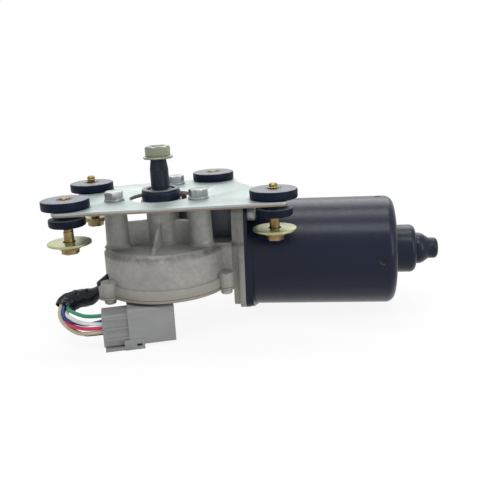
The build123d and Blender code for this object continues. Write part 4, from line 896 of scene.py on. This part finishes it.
class WIPERMOTOR_OT_spindle(Operator):
    """Models the output spindle with its serrated taper, its flange nut, and the seal with its ring"""
    bl_idname = "wiper_motor.spindle"
    bl_label = "Output Spindle"

    def execute(self, context):
        sizes, axis = context.scene.wiper_sizes, (0, 0, 0)
        shaft = turned("spindle", axis, mm(SPINDLE_PROFILE), sides=72)
        taper = turned("spindle_taper", axis, mm(TAPER_PROFILE), sides=2 * sizes.serrations)
        serrated(taper, axis, 10 * MM, 18 * MM, 4 * MM, sizes.serrations, 0.955)
        stub = turned("spindle_stub", axis, mm(STUB_PROFILE), sides=48)
        ridge = thread("spindle_thread", axis, 4.0 * MM, sizes.m8_pitch, 17.6 * MM, 24.2 * MM)
        spindle = joined("spindle", smooth(shaft), taper, smooth(stub), ridge)
        place_piece(spindle, kept("Blackened Steel", blackened_steel), "output_shaft", "output")

        flange = smooth(bored(turned("nut_flange", axis, mm(NUT_FLANGE_PROFILE), sides=72)))
        nut = hexagon("nut_body", (0, 0, 18.6 * MM), 13.0 * MM, 6.2 * MM, turn=radians(50))
        cut(nut, turned("nut_bore", axis, mm(NUT_BORE_PROFILE), sides=48), "DIFFERENCE")
        toned = two_tone("Stained Nut Zinc", 0.34, tone(124, 132, 132), tone(136, 138, 100), (110.0,), 0.5)
        place_piece(joined("spindle_nut", nut, flange), toned, "shaft_nut", "output")

        seal = smooth(bored(turned("seal_moulding", axis, mm(SEAL_PROFILE), sides=96)), 45)
        place_piece(seal, kept("Seal Rubber", seal_rubber), "shaft_seal")
        dull = two_tone("Dull Ring Steel", 0.42, tone(96, 99, 104), tone(66, 69, 75), metallic=0.6)
        dressed("seal_ring", "seal_cap_ring", dull, 0.15 * MM)
        return {"FINISHED"}


def control_curve(name, points, resolution):
    """A curve of one NURBS spline with these control points."""
    data = bpy.data.curves.new(name, "CURVE")
    data.dimensions = "3D"
    data.resolution_u = resolution
    spline = data.splines.new("NURBS")
    spline.points.add(len(points) - 1)
    for point, place in zip(spline.points, points):
        point.co = (*place, 1.0)
    spline.order_u = 3
    spline.use_endpoint_u = True
    return linked(name, data)


def line_points(curve):
    """The points along a curve's own line, read before it has a bevel."""
    line = bpy.data.meshes.new_from_object(curve)
    points = [vertex.co.copy() for vertex in line.vertices]
    bpy.data.meshes.remove(line)
    return points


def crumpled_sleeve(sizes):
    """The crumpled sleeve: rings across the route's line, flatter and wider towards its mouth, with a wall."""
    run = control_curve("sleeve_run", SLEEVE_ROUTE, 10)
    centres = line_points(run)
    bpy.data.objects.remove(run)
    sides, rings = 40, len(centres)
    points = []
    for number, centre in enumerate(centres):
        along = (centres[min(number + 1, rings - 1)] - centres[max(number - 1, 0)]).normalized()
        wide = Vector((along.z, 0.0, -along.x)).normalized()
        deep = along.cross(wide)
        share = number / (rings - 1)
        half_width = sizes.sleeve_width / 2 * (0.42 + 0.4 * min(1.0, 4.5 * share) + 0.18 * share)
        half_depth = sizes.sleeve_depth / 2 * (1.1 - 0.1 * share)
        for side in range(sides):
            angle = 2 * pi * side / sides
            crumple = 0.55 * abs(sin(1.5 * angle + 9.0 * share)) + 0.35 * abs(sin(4.0 * angle - 15.0 * share))
            swell = 1.0 + min(1.0, 3.0 * share) * (0.14 * crumple - 0.06)
            points.append(centre + swell * (half_width * cos(angle) * wide + half_depth * sin(angle) * deep))
    faces = [(ring * sides + side, ring * sides + (side + 1) % sides,
              (ring + 1) * sides + (side + 1) % sides, (ring + 1) * sides + side)
             for ring in range(rings - 1) for side in range(sides)]
    mesh = bpy.data.meshes.new("vinyl_sleeve")
    mesh.from_pydata(points, [], faces)
    sleeve = linked("vinyl_sleeve", mesh)
    edit(sleeve)
    end_edit(sleeve)
    modify(sleeve, "Wall", "SOLIDIFY", thickness=0.4 * MM, offset=-1.0)
    return smooth(sleeve, 40)


class WIPERMOTOR_OT_lead(Operator):
    """Lays the six wires and the creased vinyl sleeve from the grommet to the connector"""
    bl_idname = "wiper_motor.lead"
    bl_label = "Lead"

    def execute(self, context):
        sizes, colours = context.scene.wiper_sizes, context.scene.wiper_colours
        sleeve = crumpled_sleeve(sizes)
        vinyl = two_tone("Sleeve Vinyl", 0.2, tone(8, 11, 20), tone(22, 26, 38), (210.0, 0.5, 0.6), specular=0.26,
                         rough=(0.14, 0.30), grain=None, relief=0.15, depth=0.4 * MM)
        place_piece(sleeve, vinyl, "lead_sleeve")
        for name, route in WIRE_ROUTES.items():
            wire = control_curve(f"wire_run_{name}", route, 14)
            line = line_points(wire)
            wire.data.bevel_depth = sizes.wire / 2
            wire.data.bevel_resolution = 5
            wire.data.use_fill_caps = True
            colour = getattr(colours, name)
            jacket = two_tone(f"Wire Jacket {name.title()}", 0.34, colour, shade(colour, 0.82), (320.0, 0.55, 0.3),
                              rough=(0.28, 0.46), grain=None, relief=0.05)
            place_piece(wire, jacket, f"wire_{name}")
        dressed("lead_grommet", "lead_gland", kept("Seal Rubber", seal_rubber), 0.4 * MM)
        return {"FINISHED"}


class WIPERMOTOR_OT_connector(Operator):
    """Shows the grey connector with rounded edges"""
    bl_idname = "wiper_motor.connector"
    bl_label = "Connector"

    def execute(self, context):
        grey = moulded_plastic("Grey Moulding", context.scene.wiper_colours.connector, 0.5)
        dressed("connector_housing", "connector_shell", grey, context.scene.wiper_sizes.moulded_round)
        return {"FINISHED"}


# The stage

def photo_camera(scene, stage):
    """The photograph's camera: its place, aim and lean."""
    ahead = Vector(stage.aim).normalized()
    level = ahead.cross(Vector((0, 0, 1))).normalized()
    upright = level.cross(ahead)
    right = cos(stage.lean) * level - sin(stage.lean) * upright
    up = sin(stage.lean) * level + cos(stage.lean) * upright
    lens = bpy.data.cameras.new("Photo Camera")
    lens.lens = stage.lens
    lens.sensor_width = 36.0
    lens.clip_start = 0.01
    lens.clip_end = 20.0
    scene.camera = linked("Photo Camera", lens)
    scene.camera.matrix_world = Matrix.Translation(stage.eye) @ Matrix((right, up, -ahead)).transposed().to_4x4()


def softbox(name, place, target, size, power):
    """A rectangular area lamp at a place, turned to its target."""
    lamp = bpy.data.lights.new(name, "AREA")
    lamp.shape = "RECTANGLE"
    lamp.size, lamp.size_y = size
    lamp.energy = power
    light = linked(name, lamp)
    light.location = place
    light.rotation_euler = (Vector(target) - Vector(place)).to_track_quat("-Z", "Y").to_euler()


def pale_floor():
    """A wide pale floor that keeps a soft shadow and meets the white surroundings."""
    bpy.ops.mesh.primitive_plane_add(size=12.0, location=(0, 0, FLOOR_Z))
    floor = bpy.context.active_object
    floor.name = "pale_floor"
    made = Finish("Pale Floor", 0.9, specular=0.1)
    made.shader.inputs["Base Color"].default_value = (0.86, 0.86, 0.86, 1.0)
    glow = made.tree.nodes.new("ShaderNodeEmission")
    glow.inputs["Color"].default_value = (1.0, 1.0, 1.0, 1.0)
    white = made.level(made.distance((0, 0, 0)), 0.12, 0.42, 0.90, 1.0)
    share = math_node(made.tree, "MULTIPLY", seen_rays(made.tree), white)
    mix = made.tree.nodes.new("ShaderNodeMixShader")
    for source, socket in zip((share, made.shader.outputs[0], glow.outputs[0]), mix.inputs):
        made.tree.links.new(source, socket)
    made.tree.links.new(mix.outputs[0], made.tree.nodes["Material Output"].inputs["Surface"])
    floor.data.materials.append(made.material)


def white_surroundings(scene):
    """White where the camera or a reflection looks, and a plain grey light elsewhere."""
    scene.world = bpy.data.worlds.new("Studio")
    scene.world.use_nodes = True
    tree = scene.world.node_tree
    mix = tree.nodes.new("ShaderNodeMix")
    mix.data_type = "RGBA"
    tree.links.new(seen_rays(tree), mix.inputs["Factor"])
    mix.inputs[6].default_value = (0.34, 0.34, 0.35, 1.0)
    mix.inputs[7].default_value = (1.0, 1.0, 1.0, 1.0)
    tree.links.new(mix.outputs[2], tree.nodes["Background"].inputs["Color"])


class WIPERMOTOR_OT_stage(Operator):
    """Sets the camera, the softboxes, the pale floor and the white surroundings"""
    bl_idname = "wiper_motor.stage"
    bl_label = "Stage"

    def execute(self, context):
        stage = context.scene.wiper_stage
        photo_camera(context.scene, stage)
        for setting, lamp in SOFTBOXES.items():
            softbox(*lamp, getattr(stage, setting))
        pale_floor()
        white_surroundings(context.scene)
        context.scene.view_settings.view_transform = "Standard"
        return {"FINISHED"}


OPERATORS = (WIPERMOTOR_OT_stage, WIPERMOTOR_OT_housing, WIPERMOTOR_OT_plate, WIPERMOTOR_OT_can,
             WIPERMOTOR_OT_inside, WIPERMOTOR_OT_cushions, WIPERMOTOR_OT_mounting_bolts, WIPERMOTOR_OT_screws,
             WIPERMOTOR_OT_spindle, WIPERMOTOR_OT_connector, WIPERMOTOR_OT_lead)


class WIPERMOTOR_PT_panel(Panel):
    """Lists the motor's pieces"""
    bl_label = "Wiper Motor"
    bl_idname = "WIPERMOTOR_PT_panel"
    bl_space_type = "VIEW_3D"
    bl_region_type = "UI"
    bl_category = "Wiper Motor"

    def draw(self, context):
        layout = self.layout
        for group in (context.scene.wiper_sizes, context.scene.wiper_colours, context.scene.wiper_stage):
            box = layout.box()
            for name in group.__annotations__:
                box.prop(group, name)
        for operator in OPERATORS:
            layout.operator(operator.bl_idname)


GROUPS = (WIPERMOTOR_PG_colours, WIPERMOTOR_PG_sizes, WIPERMOTOR_PG_stage)


def register():
    """Registers the classes and hangs the settings on the scene."""
    for item in (*GROUPS, *OPERATORS, WIPERMOTOR_PT_panel):
        bpy.utils.register_class(item)
    bpy.types.Scene.wiper_colours = PointerProperty(type=WIPERMOTOR_PG_colours)
    bpy.types.Scene.wiper_sizes = PointerProperty(type=WIPERMOTOR_PG_sizes)
    bpy.types.Scene.wiper_stage = PointerProperty(type=WIPERMOTOR_PG_stage)


def unregister():
    """Takes the settings and the classes away again."""
    del bpy.types.Scene.wiper_stage
    del bpy.types.Scene.wiper_sizes
    del bpy.types.Scene.wiper_colours
    for item in reversed((*GROUPS, *OPERATORS, WIPERMOTOR_PT_panel)):
        bpy.utils.unregister_class(item)


def main():
    """Makes the stage and every piece in order."""
    register()
    for operator in OPERATORS:
        getattr(bpy.ops.wiper_motor, operator.bl_idname.split(".")[1])()


if __name__ == "__main__":
    main()
